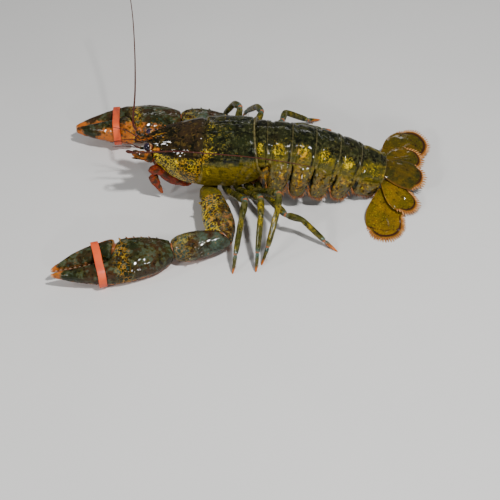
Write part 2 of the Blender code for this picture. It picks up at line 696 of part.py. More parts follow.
def leg_points(leg, side):
    """Joints of a walking leg, from its hip to the toe on the floor."""
    lengths = {part: size * leg["scale"] for part, size in LEG_LENGTHS.items()}
    first, second, third, fourth = leg["turn"]
    root = Vector((leg["x"], side * (STERNUM_HALF + GAP), COXA_HEIGHT))
    hip = Vector((leg["x"] + 0.12 * first, side * COXA_END, COXA_HEIGHT))
    knee = hip + heading(first, side, leg["rise"]) * lengths["thigh"]
    wrist = knee + heading(second, side, -leg["drop"]) * lengths["wrist"]
    ankle_height = lengths["toe"] * math.sin(math.radians(leg["toe_drop"]))
    fall = math.degrees(math.asin((wrist.z - ankle_height) / lengths["hand"]))
    ankle = wrist + heading(third, side, -fall) * lengths["hand"]
    toe = ankle + heading(fourth, side, -leg["toe_drop"]) * lengths["toe"]
    return root, hip, knee, wrist, ankle, toe


def limb_rings(stops, sides, flatten=1.0):
    """Rings for (point, radius) stops along a limb."""
    frames = path_frames([point for point, _ in stops])
    rings = [frame.ring(oval(radius * flatten, radius, sides)) for frame, (_, radius) in zip(frames, stops)]
    return rings, frames


def walking_leg(name, leg, side):
    """A walking leg as thigh, shank and toe; the second and third end in small pincers."""
    root, hip, knee, wrist, ankle, toe = leg_points(leg, side)
    size = {part: value * (0.55 + 0.45 * leg["scale"]) for part, value in LEG_SIZES.items()}
    thigh = [(root, size["hip"]), (root.lerp(hip, 0.55), size["hip"] * 0.98), (hip, size["thigh"] * 1.0),
             (hip.lerp(knee, 0.14), size["thigh"] * 1.08), (hip.lerp(knee, 0.25), size["thigh"] * 0.88),
             (hip.lerp(knee, 0.36), size["thigh"] * 1.02), (hip.lerp(knee, 0.65), size["thigh"] * 1.1),
             (hip.lerp(knee, 0.9), size["thigh"] * 1.06), (knee, size["thigh"] * 0.74)]
    shank = [(knee, size["wrist"] * 0.84), (knee.lerp(wrist, 0.3), size["wrist"] * 1.1),
             (knee.lerp(wrist, 0.8), size["wrist"] * 1.06), (wrist, size["hand"] * 0.86),
             (wrist.lerp(ankle, 0.14), size["hand"] * 1.06), (wrist.lerp(ankle, 0.6), size["hand"] * 1.0),
             (wrist.lerp(ankle, 0.93), size["hand"] * 0.9), (ankle, size["hand"] * 0.66)]
    tip = [(ankle, size["toe"] * 1.0), (ankle.lerp(toe, 0.2), size["toe"] * 1.15),
           (ankle.lerp(toe, 0.6), size["toe"] * 0.82), (toe, TOE_FLAT)]
    whole = path_frames([root, hip, knee, wrist, ankle, toe])
    made = []
    for part, stops, start, end in (("thigh", thigh, None, whole[2]), ("shank", shank, whole[2], whole[4]),
                                    ("toe", tip, whole[4], None)):
        sides = LEG_SIDES if part != "toe" else 7
        rings, frames = limb_rings(stops, sides, 0.86)
        if start is None:
            first = Frame(root, (0, side, 0))
            rings[0] = first.ring(oval(stops[0][1], stops[0][1], sides))
        else:
            first = Frame(start.origin, start.forward)
            rings[0] = first.ring(oval(stops[0][1] * 0.86, stops[0][1], sides), GAP / 2)
        if end is None:
            ground = Frame((toe.x, toe.y, 0), (0, 0, -1), frames[-1].up)
            rings[-1] = ground.ring(oval(TOE_FLAT, TOE_FLAT, sides))
        else:
            last = Frame(end.origin, end.forward)
            rings[-1] = last.ring(oval(stops[-1][1] * 0.86, stops[-1][1], sides), -GAP / 2)
        body = skin(part, rings, floor=True)
        others = []
        if part == "toe" and name[3] in "23":
            finger = toe - ankle
            aside = finger.cross(Vector((0, 0, 1))).normalized() * 1.5
            lift = aside.cross(finger).normalized() * 1.9
            pincer_root = ankle + finger * 0.12 + lift * 0.3
            pincer_tip = ankle + finger * 0.82 + lift * 1.15
            others.append(spike(pincer_root, pincer_tip, size["toe"] * 0.75, 6))
        made.append(fused("%s_%s" % (name, part), "leg_olive", body, others))
    return made


claw_outer = profile((0.0, 0.082), (0.07, 0.125), (0.2, 0.180), (0.4, 0.200), (0.6, 0.172), (0.8, 0.110),
                     (0.93, 0.050), (1.0, 0.016))
claw_inner = profile((0.0, 0.082), (0.1, 0.130), (0.25, 0.172), (0.42, 0.192), (0.6, 0.186), (0.8, 0.136),
                     (0.93, 0.074), (1.0, 0.036))
claw_depth = profile((0.0, 0.068), (0.1, 0.094), (0.25, 0.114), (0.42, 0.112), (0.6, 0.088), (0.8, 0.060),
                     (0.93, 0.034), (1.0, 0.012))
FINGER_ROOT = 0.42            # where the moving finger starts, along the claw
FINGER_FORK = 0.50            # where the fixed finger starts
FIXED_EDGE = -0.006           # biting edge of the fixed finger
MOVING_EDGE = 0.016           # biting edge of the moving finger
EDGE_DRIFT = 0.012            # how far both edges drift inwards along the claw
CLAW_SIDES = 14


def claw_frame(tag, side, wrist):
    arm, claw = ARMS[tag], CLAWS[tag]
    turn = math.radians(arm["turn"])
    forward = Vector((-math.cos(turn), side * math.sin(turn), CLAW_LIFT))
    lean = math.radians(CLAW_ROLL)
    frame = Frame(wrist, forward)
    inward = -side
    up = frame.up * math.cos(lean) - frame.side * inward * math.sin(lean)
    return Frame(wrist, forward, up), inward, claw


def claw_ring(frame, inward, claw, place, near, far, depth=1.0, slant=None):
    """A ring of the claw between two side shares, square to it or slanted."""
    length, wide, deep = claw["length"], claw["width"], claw["depth"]
    middle, half = (near + far) / 2 * length * wide, (far - near) / 2 * length * wide
    height = claw_depth(place) * length * deep * depth
    points = []
    for side, up in oval(half, height, CLAW_SIDES, 0.86):
        along = place * length
        if slant is not None:
            share = (middle + side) / (length * wide)
            along += (far - share) / max(far - near, 0.001) * slant * length
        points.append(frame.at(along, inward * (middle + side), up))
    return points


def claw(tag, side, wrist):
    """Palm with its fixed finger, the moving finger, and the band round both."""
    frame, inward, kind = claw_frame(tag, side, wrist)
    length, wide = kind["length"], kind["width"]
    palm = []
    for place in (0.0, 0.05, 0.12, 0.22, 0.32, FINGER_ROOT):
        palm.append(claw_ring(frame, inward, kind, place, -claw_outer(place), claw_inner(place)))
    for place in (FINGER_FORK, 0.60, 0.70, 0.80, 0.89, 0.95, 0.99):
        palm.append(claw_ring(frame, inward, kind, place, -claw_outer(place),
                              FIXED_EDGE + EDGE_DRIFT * (place - 0.5)))
    body = skin("palm", palm, floor=True)
    slant = FINGER_FORK - FINGER_ROOT
    finger = []
    seat = 0.5 / length
    for place, share in ((FINGER_ROOT + seat, 1.0), (0.47, 0.75), (0.54, 0.35), (0.62, 0.1), (0.71, 0.0),
                         (0.80, 0.0), (0.88, 0.0), (0.94, 0.0), (0.985, 0.0)):
        finger.append(claw_ring(frame, inward, kind, place, MOVING_EDGE + EDGE_DRIFT * (place - 0.5),
                                claw_inner(place) - (0.008 if share == 1.0 else 0.0),
                                0.86 if share == 1.0 else 0.98, slant * share))
    moving = skin("finger", finger, floor=True)
    palm_teeth, finger_teeth = [], []
    rng = random.Random(7 if tag == "l" else 11)
    count = 7 if kind["teeth"] == "crusher" else 10
    for index in range(count):
        place = blend(0.56, 0.93, index / (count - 1))
        big = rng.uniform(0.85, 1.15) * (1.0 - 0.45 * (place - 0.5))
        on_finger = index % 2 == 1
        teeth = finger_teeth if on_finger else palm_teeth
        outward = inward if on_finger else -inward      # from the gap into the finger
        edge = ((MOVING_EDGE if on_finger else FIXED_EDGE) + EDGE_DRIFT * (place - 0.5)) * inward
        edge *= length * wide
        if kind["teeth"] == "crusher":
            teeth.append(knob(frame.at(place * length, edge + 0.9 * outward, 0), 2.1 * big, 0.9))
        else:
            base = frame.at(place * length, edge + 1.6 * outward, 0)
            teeth.append(spike(base, base - frame.side * 2.8 * big * outward, 1.5 * big))
    for index in range(5):
        place = blend(0.10, 0.37, index / 4)
        edge = claw_inner(place) * length * wide
        base = frame.at(place * length, inward * (edge - 2.2), 1.5)
        tip = frame.at(place * length + 2.2, inward * (edge + 2.6), 2.6)
        palm_teeth.append(spike(base, tip, 1.7, 6))
    made = [fused("claw_palm_" + tag, "claw_brown", body, palm_teeth),
            fused("claw_finger_" + tag, "claw_brown", moving, finger_teeth)]
    made.append(band(tag, frame, inward, kind))
    return made


def band(tag, frame, inward, kind):
    """A flat rubber band stretched round both fingers."""
    length, wide = kind["length"], kind["width"]
    outline = []
    for step in (-0.5, 0.0, 0.5):
        place = BAND_PLACE + step * BAND_WIDTH / length
        near, far = -claw_outer(place), claw_inner(place)
        split = (FIXED_EDGE + MOVING_EDGE) / 2
        for low, high in ((near, split), (split, far)):
            half = (high - low) / 2 * length * wide
            middle = (high + low) / 2 * length * wide
            depth = claw_depth(place) * length * kind["depth"]
            outline += [Vector((middle + s, u)) for s, u in oval(half, depth, 24, 0.86)]
    hull = [outline[index] for index in convex_hull_2d(outline)]
    edges = [(hull[index] - hull[index - 1]).length for index in range(len(hull))]
    total, count = sum(edges), 30
    loop, travelled, cursor = [], 0.0, 0
    for index in range(count):
        target = total * index / count
        while travelled + edges[(cursor + 1) % len(hull)] < target:
            travelled += edges[(cursor + 1) % len(hull)]
            cursor += 1
        start, stop = hull[cursor % len(hull)], hull[(cursor + 1) % len(hull)]
        loop.append(start.lerp(stop, (target - travelled) / edges[(cursor + 1) % len(hull)]))
    centre = sum(loop, Vector((0, 0))) / count
    mesh = bmesh.new()
    rows = []
    for point in loop:
        out = (point - centre).normalized()
        corners = []
        for along, lift in ((-0.5, 0.55), (0.5, 0.55), (0.5, 0.55 + BAND_THICK), (-0.5, 0.55 + BAND_THICK)):
            flat = point + out * lift
            place = frame.at(BAND_PLACE * length + along * BAND_WIDTH, inward * flat.x, flat.y)
            corners.append(mesh.verts.new(place * UNIT))
        rows.append(corners)
    for index, row in enumerate(rows):
        following = rows[(index + 1) % count]
        for corner in range(4):
            beside = (corner + 1) % 4
            mesh.faces.new((row[corner], row[beside], following[beside]))
            mesh.faces.new((row[corner], following[beside], following[corner]))
    bmesh.ops.recalc_face_normals(mesh, faces=mesh.faces)
    return finish(to_object("band", mesh), "band_" + tag, "rubber_salmon")


def claw_rest_height(tag, side, place):
    """Height of the wrist that lets the claw's belly rest on the floor with a small flat."""
    frame, inward, kind = claw_frame(tag, side, Vector((*place, 0.0)))
    lowest = 0.0
    for share in (0.22, 0.32, 0.4):
        ring = claw_ring(frame, inward, kind, share, -claw_outer(share), claw_inner(share))
        lowest = min(lowest, min(point.z for point in ring))
    return -lowest - 0.35


def claw_arm(tag, side):
    """Upper arm and wrist piece that carry a claw."""
    arm = ARMS[tag]
    knee, elbow = (Vector((x, y * side, z)) for x, y, z in (arm["knee"], arm["elbow"]))
    x, y = arm["wrist"]
    wrist = Vector((x, y * side, claw_rest_height(tag, side, (x, y * side))))
    root = Vector((ARM_HIP_X, side * (STERNUM_HALF + GAP), COXA_HEIGHT))
    hip = Vector((ARM_HIP_X - 2.4, side * COXA_END, COXA_HEIGHT))
    bend = (elbow - knee).normalized() + (wrist - elbow).normalized()
    tip_frame, _, _ = claw_frame(tag, side, wrist)
    deep = CLAWS[tag]["depth"]
    parts = (
        ("upper", ((root, 5.2, 4.2), (root.lerp(hip, 0.6), 6.5, 4.4), (hip, 7.8, 4.8),
                   (hip.lerp(knee, 0.5), 9.0, 6.0), (knee, 9.4, 6.4), (knee.lerp(elbow, 0.15), 10.6, 7.6),
                   (knee.lerp(elbow, 0.36), 12.0, 8.8), (knee.lerp(elbow, 0.56), 12.8, 9.9),
                   (knee.lerp(elbow, 0.70), 12.6, 10.0), (elbow, 8.0, 7.6)), Vector((0, side, 0)), bend),
        ("wrist", ((elbow, 7.4, 7.2), (elbow.lerp(wrist, 0.34), 10.4, 9.6),
                   (elbow.lerp(wrist, 0.54), 12.4, 10.8), (elbow.lerp(wrist, 0.78), 12.2, 10.6),
                   (elbow.lerp(wrist, 0.9), 10.6, 9.4), (wrist, 8.0, 6.8)), bend, tip_frame.forward),
    )
    made = []
    for part, stops, start, end in parts:
        frames = path_frames([point for point, _, _ in stops])
        rings = []
        for index, (frame, (point, half, height)) in enumerate(zip(frames, stops)):
            along = 0.0
            if index == 0:
                frame = Frame(point, start)
                along = 0.0 if part == "upper" else GAP / 2
            elif index == len(stops) - 1:
                frame = Frame(point, end)
                along = -GAP / 2 if part != "wrist" else -GAP
            rings.append(frame.ring(oval(half * (1 + 0.1 * (deep - 1)), height, 12, 0.92), along))
        body = skin(part, rings, floor=True)
        thorns = []
        forward = Vector((-1, 0, 0))
        if part == "upper":
            for share, out in ((0.22, 10.8), (0.86, 11.2)):
                foot = knee.lerp(elbow, share) + forward * (out - 2.0) + Vector((0, 0, 2.5))
                thorns.append(spike(foot, foot + Vector((-4.6, 0, 1.6)), 2.0, 6))
            foot = knee.lerp(elbow, 0.88) + Vector((1.5, 0, 6.5))
            thorns.append(spike(foot, foot + Vector((0, 2.5 * side, 4.4)), 2.0, 6))
        if part == "wrist":
            along = (wrist - elbow).normalized()
            across = along.cross(Vector((0, 0, 1))).normalized() * side
            for share, sideways, lift in WRIST_SPINES:
                foot = elbow.lerp(wrist, share) + across * sideways + Vector((0, 0, lift - 1.0))
                out = (across * sideways + Vector((0, 0, lift))).normalized()
                thorns.append(spike(foot, foot + out * 3.9 + along * 1.8, 1.7, 6))
        made.append(fused("arm_%s_%s" % (part, tag), "claw_brown", body, thorns))
    return made + claw(tag, side, wrist)


def centre_on_floor():
    """Moves everything so that the origin is on the floor, under the middle of the whole."""
    corners = [vert.co for made in bpy.data.objects for vert in made.data.vertices]
    middle = [(min(corner[axis] for corner in corners) + max(corner[axis] for corner in corners)) / 2
              for axis in range(2)]
    for made in bpy.data.objects:
        made.location = (-middle[0], -middle[1], 0.0)


def main():
    for old in list(bpy.data.objects):
        bpy.data.objects.remove(old, do_unlink=True)
    carapace()
    face()
    sternum()
    abdomen()
    tail_fan()
    for tag, side in SIDES.items():
        eye(tag, side)
        peduncle(tag, side)
        feeler(tag, side)
        antennule(tag, side)
        maxilliped(tag, side)
        claw_arm(tag, side)
    for name, leg in LEGS.items():
        walking_leg(name, leg, SIDES[name[-1]])
    centre_on_floor()


main()
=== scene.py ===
"""American lobster: the wet, mottled shell, feelers, bristles and claw bands, on a pale studio floor.

Places are millimetres from the carapace's rear edge on the midline, with the head towards -X and
the left side towards -Y, and the floor at zero; MM turns them into metres.
"""

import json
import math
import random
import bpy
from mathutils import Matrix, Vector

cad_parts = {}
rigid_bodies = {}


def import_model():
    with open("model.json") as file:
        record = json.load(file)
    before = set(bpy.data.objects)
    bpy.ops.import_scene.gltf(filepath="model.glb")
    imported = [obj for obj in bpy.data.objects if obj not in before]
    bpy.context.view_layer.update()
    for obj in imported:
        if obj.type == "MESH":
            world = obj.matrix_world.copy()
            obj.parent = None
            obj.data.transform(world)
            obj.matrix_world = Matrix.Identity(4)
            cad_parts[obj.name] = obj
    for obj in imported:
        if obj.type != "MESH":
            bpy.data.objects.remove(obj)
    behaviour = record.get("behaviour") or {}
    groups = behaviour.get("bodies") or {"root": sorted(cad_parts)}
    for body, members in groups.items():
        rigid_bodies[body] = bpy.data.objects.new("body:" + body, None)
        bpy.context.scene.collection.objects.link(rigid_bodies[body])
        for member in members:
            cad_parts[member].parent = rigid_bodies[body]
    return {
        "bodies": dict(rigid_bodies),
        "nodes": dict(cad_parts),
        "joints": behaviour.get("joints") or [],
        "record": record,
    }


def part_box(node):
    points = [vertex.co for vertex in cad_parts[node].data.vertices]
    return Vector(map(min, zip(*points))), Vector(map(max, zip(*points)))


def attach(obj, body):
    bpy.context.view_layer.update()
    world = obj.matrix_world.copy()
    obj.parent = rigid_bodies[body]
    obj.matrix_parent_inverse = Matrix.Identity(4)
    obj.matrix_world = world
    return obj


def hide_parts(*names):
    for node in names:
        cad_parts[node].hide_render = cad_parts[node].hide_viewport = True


bl_info = {
    "name": "American lobster",
    "version": (1, 0, 0),
    "blender": (4, 5, 0),
    "location": "View3D > Sidebar > Lobster",
    "description": "Builds a life-size lobster with banded claws, and its studio",
    "category": "Object",
}

import bpy
import numpy as np
from mathutils import Matrix, Vector
from mathutils.geometry import convex_hull_2d

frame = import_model()

MM = 0.001
LEFT, RIGHT = -1, 1
SIDES = {"l": LEFT, "r": RIGHT}
SHELL_FLOOR, HAIR_FLOOR = 0.02, 0.12      # lowest places of shell and hair over the floor
REAR_SWEEP = 5.5              # how far the carapace's rear lobes reach past its rear edge
SHELL_LOW, SHELL_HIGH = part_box("carapace")
ORIGIN = Vector((SHELL_HIGH.x - REAR_SWEEP * MM, (SHELL_LOW.y + SHELL_HIGH.y) / 2, 0.0))

# Carapace and head
FLANK = 0.42                  # height share of the widest line
HEM = 0.80                    # half width at the lower edge, as a share of the widest
EYE_PLACE = (-88.6, 9.6, 54.2)
EYE_RADIUS = 3.6
ORBIT_RADIUS = 5.9
BEAK_SPINES = ((-93.5, 2.4), (-89.0, 3.0), (-84.5, 3.4), (-79.5, 2.8))
BROW_SPINES = (-79.5, -73.0)
TEMPLE_SPINE, TEMPLE_HEIGHT = -79.0, 0.63
NECK_X, NECK_SWEEP = -41.0, -9.5

# Abdomen
RING_X = (-0.6, 9.0, 28.0, 46.2, 65.0, 82.0, 103.5)
RING_Z = (48.0, 47.6, 45.0, 41.2, 35.6, 28.6, 19.8)
RING_ROLL = (0.0, -1.5, -3.0, -3.0, -2.0, 3.0, 10.0)
RING_HALF = (22.6, 22.8, 22.4, 21.8, 20.8, 19.2, 16.4)
RING_ARCH = (18.6, 18.8, 18.6, 18.0, 16.8, 15.0, 11.0)
FLAP_DEPTH = (5.5, 30.0, 30.5, 29.0, 25.5, 16.5)
FLAP_FLARE = (0.3, 5.0, 5.0, 4.6, 3.8, 2.6)
RING_OVERLAP = 1.9
LOBE_HAIRS = 26

# Tail fan: side, place, lift, splay, droop, length, root and full half width, thickness, camber,
# and clearance from the last ring
FAN_PITCH, FAN_ROLL = 15.0, 15.0
FRINGE_ROOM = 3.0             # the plates end this far inside the fringe's tips
COMB_EVERY = 5                # hairs of the fringe for each longer tooth of its comb
FAN_PLATES = {
    "telson": (1, 0.0, 4.0, -5, 2, 37.5, 9.5, 14.2, 3.4, 2.0, 0.39),
    "uropod_inner_l": (LEFT, 10.4, -0.6, 38, 3, 39.0, 3.4, 13.0, 2.6, 0.8, 0.12),
    "uropod_inner_r": (RIGHT, 10.4, -0.6, 21, 3, 39.0, 3.4, 13.0, 2.6, 0.8, 0.39),
    "uropod_outer_l": (LEFT, 13.8, -5.0, 83, 7, 59.0, 3.2, 17.0, 2.6, 0.8, 1.6),
    "uropod_outer_r": (RIGHT, 13.8, -5.0, 46, 7, 59.0, 3.2, 17.0, 2.6, 0.8, 0.25),
}

# Claw arms and claws
HIP = (-38.0, 12.3, 16.3)
HIP_END = 22.0
ARMS = {
    "l": dict(knee=(-37.0, 33.0, 19.5), elbow=(-25.0, 77.0, 13.5), wrist=(-66.0, 87.0), turn=17.0),
    "r": dict(knee=(-37.5, 33.0, 19.5), elbow=(-31.0, 75.0, 14.5), wrist=(-71.0, 79.0), turn=-7.0),
}
WRIST_SPINES = (
    (0.35, 6.0, 6.8), (0.55, 8.0, 6.8), (0.76, 8.0, 6.4), (0.6, 0.0, 9.2), (0.8, -1.0, 8.8),
    (0.45, 10.6, 1.0), (0.68, 10.8, 1.0))
CLAW_ROLL, CLAW_LIFT = 12.0, 0.018
CLAW_PRESS = 0.35             # the claws' bellies are flattened by this much on the floor
CLAWS = {
    "l": dict(length=98.0, width=1.00, depth=1.00, teeth=22, crusher=False),
    "r": dict(length=96.0, width=1.22, depth=1.22, teeth=11, crusher=True),
}
PALM_SPINES, COMB_STEPS = 6, 90
FINGER_ROOT, FINGER_FORK = 0.42, 0.50
FIXED_EDGE, MOVING_EDGE, EDGE_DRIFT = -0.006, 0.016, 0.012
BAND_WIDTH, BAND_PLACE = 6.5, 0.60

# Legs
BRISTLE_ROWS, ROW_BRISTLES = 4, 15

# Feelers
ANTENNA_END = (-100.9, 15.1, 53.4)
FEELERS = {
    "l": (ANTENNA_END, (-103.6, 16.3, 55.6), (-104.4, 19.3, 57.6), (-101.0, 22.4, 58.8),
          (-91.0, 23.4, 59.6), (-76.0, 23.0, 60.0), (-60.0, 24.0, 60.8), (-35.0, 28.4, 61.6),
          (-4.0, 31.4, 60.2), (24.0, 34.0, 57.0), (46.0, 36.6, 53.5)),
    "r": (ANTENNA_END, (-103.2, 17.4, 56.0), (-103.6, 25.0, 60.4), (-103.4, 45.0, 69.0),
          (-104.8, 70.0, 79.5), (-107.0, 94.0, 89.5), (-110.0, 118.0, 99.5), (-114.5, 142.0, 108.5),
          (-119.8, 164.4, 114.6)),
}

# Camera, from the rostrum, eye, shell edges and tail in the picture
CAMERA_TARGET = (-3.28, -96.38, 20.0)
CAMERA_DISTANCE = 0.8515
CAMERA_AZIMUTH, CAMERA_ELEVATION, CAMERA_ROLL = -3.97, 43.86, -3.09
SENSOR = 36.0

# Studio, in metres: each light's place, width, height and share of the key light's power
FLOOR_SIZE = 6.0
AIR_COLOUR = (0.93, 0.96, 1.0, 1.0)
LIGHT_TARGET = Vector((0.0, 0.0, 0.03))
LIGHTS = {
    "key": ((0.35, -0.40, 0.98), 0.07, 0.07, 1.0),
    "strip": ((0.15, 0.75, 0.55), 0.80, 0.04, 0.06),
    "fill": ((-0.70, -0.80, 0.60), 0.14, 0.14, 0.34),
    "spark": ((-0.95, -0.30, 0.62), 0.05, 0.05, 0.12),
    "glint": ((0.30, -1.05, 0.42), 0.05, 0.05, 0.16),
}


def profile(*keys):
    """Smooth function through (place, value) keys, flat beyond both ends."""
    slopes = []
    for index in range(len(keys)):
        low, high = max(index - 1, 0), min(index + 1, len(keys) - 1)
        slopes.append((keys[high][1] - keys[low][1]) / (keys[high][0] - keys[low][0]))

    def value(place):
        place = min(max(place, keys[0][0]), keys[-1][0])
        index = 0
        while index < len(keys) - 2 and place > keys[index + 1][0]:
            index += 1
        (x0, y0), (x1, y1) = keys[index], keys[index + 1]
        span = x1 - x0
        t = (place - x0) / span
        ease = t * t * (3 - 2 * t)
        return (y0 * (1 - ease) + y1 * ease + span * (slopes[index] * (t - 2 * t * t + t ** 3)
                + slopes[index + 1] * (t ** 3 - t * t)))
    return value


def sampled(function, places):
    """A profile read at many places at once."""
    grid = np.linspace(places.min(), places.max() + 0.001, 300)
    return np.interp(places, grid, [function(place) for place in grid])


def blend(first, second, share):
    return first + (second - first) * share


def gauss(distance, width):
    return np.exp(-(distance / width) ** 2)


def step(value, low, high):
    t = np.clip((value - low) / (high - low), 0, 1)
    return t * t * (3 - 2 * t)


def signed_power(value, power):
    return math.copysign(abs(value) ** power, value)


def oval(half_side, half_up, count, power=1.0):
    """Points round an oval; a power below 1 makes it boxier."""
    angles = [math.tau * index / count for index in range(count)]
    return [(half_side * signed_power(math.cos(angle), power),
             half_up * signed_power(math.sin(angle), power)) for angle in angles]


class Frame:
    """A point with forward, side and up directions; headed forward, side is the right side."""

    def __init__(self, origin, forward, up=(0, 0, 1)):
        self.origin = Vector(origin)
        self.forward = Vector(forward).normalized()
        self.side = self.forward.cross(Vector(up)).normalized()
        self.up = self.side.cross(self.forward)

    def at(self, along, side, up):
        return self.origin + self.forward * along + self.side * side + self.up * up

    def ring(self, outline, along=0.0):
        return [self.at(along, side, up) for side, up in outline]

    def local(self, points):
        """Along, side and up of many points."""
        away = points - np.array(self.origin)
        return tuple(away @ np.array(axis) for axis in (self.forward, self.side, self.up))


def path_frames(points, up=(0, 0, 1)):
    """One frame at each point of a path, halving the bend there."""
    points = [Vector(point) for point in points]
    frames = []
    for index, point in enumerate(points):
        before = point - points[max(index - 1, 0)]
        after = points[min(index + 1, len(points) - 1)] - point
        frames.append(Frame(point, before.normalized() + after.normalized(), up))
    return frames


def curve_points(keys, count):
    """Evenly spaced points of a smooth curve through key points."""
    keys = [Vector(key) for key in keys]
    ends = [keys[0] * 2 - keys[1]] + keys + [keys[-1] * 2 - keys[-2]]
    fine, steps = [], 16
    for index in range(1, len(ends) - 2):
        a, b, c, d = ends[index - 1:index + 3]
        for number in range(steps):
            t = number / steps
            fine.append(0.5 * ((2 * b) + (c - a) * t + (2 * a - 5 * b + 4 * c - d) * t * t
                               + (3 * b - a - 3 * c + d) * t ** 3))
    fine.append(keys[-1])
    travelled = [0.0]
    for first, second in zip(fine, fine[1:]):
        travelled.append(travelled[-1] + (second - first).length)
    targets = np.linspace(0, travelled[-1], count)
    axes = [np.interp(targets, travelled, [point[axis] for point in fine]) for axis in range(3)]
    return [Vector(point) for point in zip(*axes)]


def mirrored(place, side):
    """A place given for the right side, on this side."""
    return Vector((place[0], place[1] * side, place[2]))


# Modelling

def only(piece):
    """Selects one object and nothing else."""
    bpy.ops.object.select_all(action="DESELECT")
    piece.select_set(True)
    bpy.context.view_layer.objects.active = piece


def modify(piece, kind, **settings):
    """Adds a modifier and applies it."""
    only(piece)
    modifier = piece.modifiers.new(kind.title(), kind)
    for name, value in settings.items():
        setattr(modifier, name, value)
    bpy.ops.object.modifier_apply(modifier=modifier.name)


def polished(piece):
    only(piece)
    bpy.ops.object.shade_smooth()
    return piece


def tapered(keys, sizes, squash, sides):
    """Oval rings of these half widths, evenly along a curve through the keys."""
    frames = path_frames(curve_points(keys, len(sizes)))
    return [frame.ring(oval(size, size * squash, sides)) for frame, size in zip(frames, sizes)]


def smoothed(piece, levels):
    modify(piece, "SUBSURF", levels=levels, render_levels=levels)
    return polished(piece)


def sewn(piece, gap=0.000001, filled=False, quads=False):
    """Merges points closer than the gap in metres, closes the skin, and turns its faces outward."""
    only(piece)
    bpy.ops.object.mode_set(mode="EDIT")
    bpy.ops.mesh.select_all(action="SELECT")
    if gap:
        bpy.ops.mesh.remove_doubles(threshold=gap)
    if filled:
        bpy.ops.mesh.fill_holes(sides=0)
        bpy.ops.mesh.select_all(action="SELECT")
    if quads:
        bpy.ops.mesh.tris_convert_to_quads(face_threshold=math.radians(50),
                                           shape_threshold=math.radians(60))
    bpy.ops.mesh.normals_make_consistent(inside=False)
    bpy.ops.object.mode_set(mode="OBJECT")
    return piece


def swept(name, rings, levels=2):
    """A closed skin: a grid laid over rings of points, sewn, filled at both ends and smoothed."""
    bpy.ops.object.select_all(action="DESELECT")
    bpy.ops.mesh.primitive_grid_add(x_subdivisions=len(rings[0]), y_subdivisions=len(rings) - 1, size=1.0)
    piece = bpy.context.object
    piece.name = name
    places = []
    for ring in rings:
        for point in [*ring, ring[0]]:
            places.extend(ORIGIN + Vector(point) * MM)
    piece.data.vertices.foreach_set("co", places)
    sewn(piece, filled=True)
    return smoothed(piece, levels)


def fine_copy(node, name, levels=2):
    """A smooth copy of a shell piece, merged and subdivided."""
    source = frame["nodes"][node]
    only(source)
    bpy.ops.object.duplicate()
    piece = bpy.context.object
    piece.name = name
    piece.parent = None
    for key in list(piece.keys()):
        del piece[key]
    only(sewn(piece, gap=0.00001, quads=True))
    bpy.ops.mesh.customdata_custom_splitnormals_clear()
    return smoothed(piece, levels) if levels else piece


def thorn(base, tip, radius, sides=10):
    """A tapered spine with a slight hook."""
    base, tip = Vector(base), Vector(tip)
    length = (tip - base).length
    bpy.ops.object.select_all(action="DESELECT")
    bpy.ops.mesh.primitive_cone_add(vertices=sides, radius1=radius * MM, radius2=0.12 * radius * MM,
                                    depth=length * MM, location=(0, 0, length / 2 * MM))
    piece = bpy.context.object
    bpy.ops.object.transform_apply(location=True, rotation=False, scale=False)
    turn = (tip - base).to_track_quat("Z", "Y").to_matrix().to_4x4()
    piece.data.transform(Matrix.Translation(ORIGIN + base * MM) @ turn)
    return piece


def spike(parts, tips, foot, tip, radius, sides=10):
    """Adds a thorn to the parts, and notes where its tip is."""
    tips.append(tip)
    parts.append(thorn(foot, tip, radius, sides))


def knob(centre, radius, squash=1.0):
    """A rounded tooth."""
    bpy.ops.object.select_all(action="DESELECT")
    bpy.ops.mesh.primitive_uv_sphere_add(segments=16, ring_count=10, radius=radius * MM)
    piece = bpy.context.object
    stretch = Matrix.Diagonal((1, 1, squash, 1))
    piece.data.transform(Matrix.Translation(ORIGIN + Vector(centre) * MM) @ stretch)
    return polished(piece)


def joined(name, parts):
    """One object out of several, which keep their own surfaces and finishes."""
    bpy.ops.object.select_all(action="DESELECT")
    for part in parts:
        part.select_set(True)
    bpy.context.view_layer.objects.active = parts[0]
    if len(parts) > 1:
        bpy.ops.object.join()
    piece = bpy.context.object
    piece.name = name
    return piece


def welded(name, parts, voxel, relax=3):
    """One closed skin out of overlapping parts, with soft roots."""
    piece = joined(name, parts)
    modify(piece, "REMESH", mode="VOXEL", voxel_size=voxel * MM)
    modify(piece, "SMOOTH", factor=0.5, iterations=relax)
    return polished(piece)


def points_of(piece):
    """Places in millimetres and normals of all points of a piece."""
    count = len(piece.data.vertices)
    places, normals = np.empty(count * 3, np.float32), np.empty(count * 3, np.float32)
    piece.data.vertices.foreach_get("co", places)
    piece.data.vertices.foreach_get("normal", normals)
    return (places.reshape(-1, 3) - np.array(ORIGIN)) / MM, normals.reshape(-1, 3)


def relief(piece, rule):
    """Raises every point along its normal by the rule's millimetres."""
    places, normals = points_of(piece)
    places = places + normals * rule(places)[:, None]
    places[:, 2] = np.maximum(places[:, 2], SHELL_FLOOR)
    piece.data.vertices.foreach_set("co", (places * MM + np.array(ORIGIN)).astype(np.float32).ravel())
    piece.data.update()


def mark(piece, **zones):
    """Stores numbers on every point for the finish to read, each from a rule or the same all over."""
    places = points_of(piece)[0]
    for name, zone in zones.items():
        values = zone(places) if callable(zone) else np.full(len(places), zone)
        attribute = piece.data.attributes.get(name) or piece.data.attributes.new(name, "FLOAT", "POINT")
        attribute.data.foreach_set("value", np.clip(values, 0, 1).astype(np.float32))


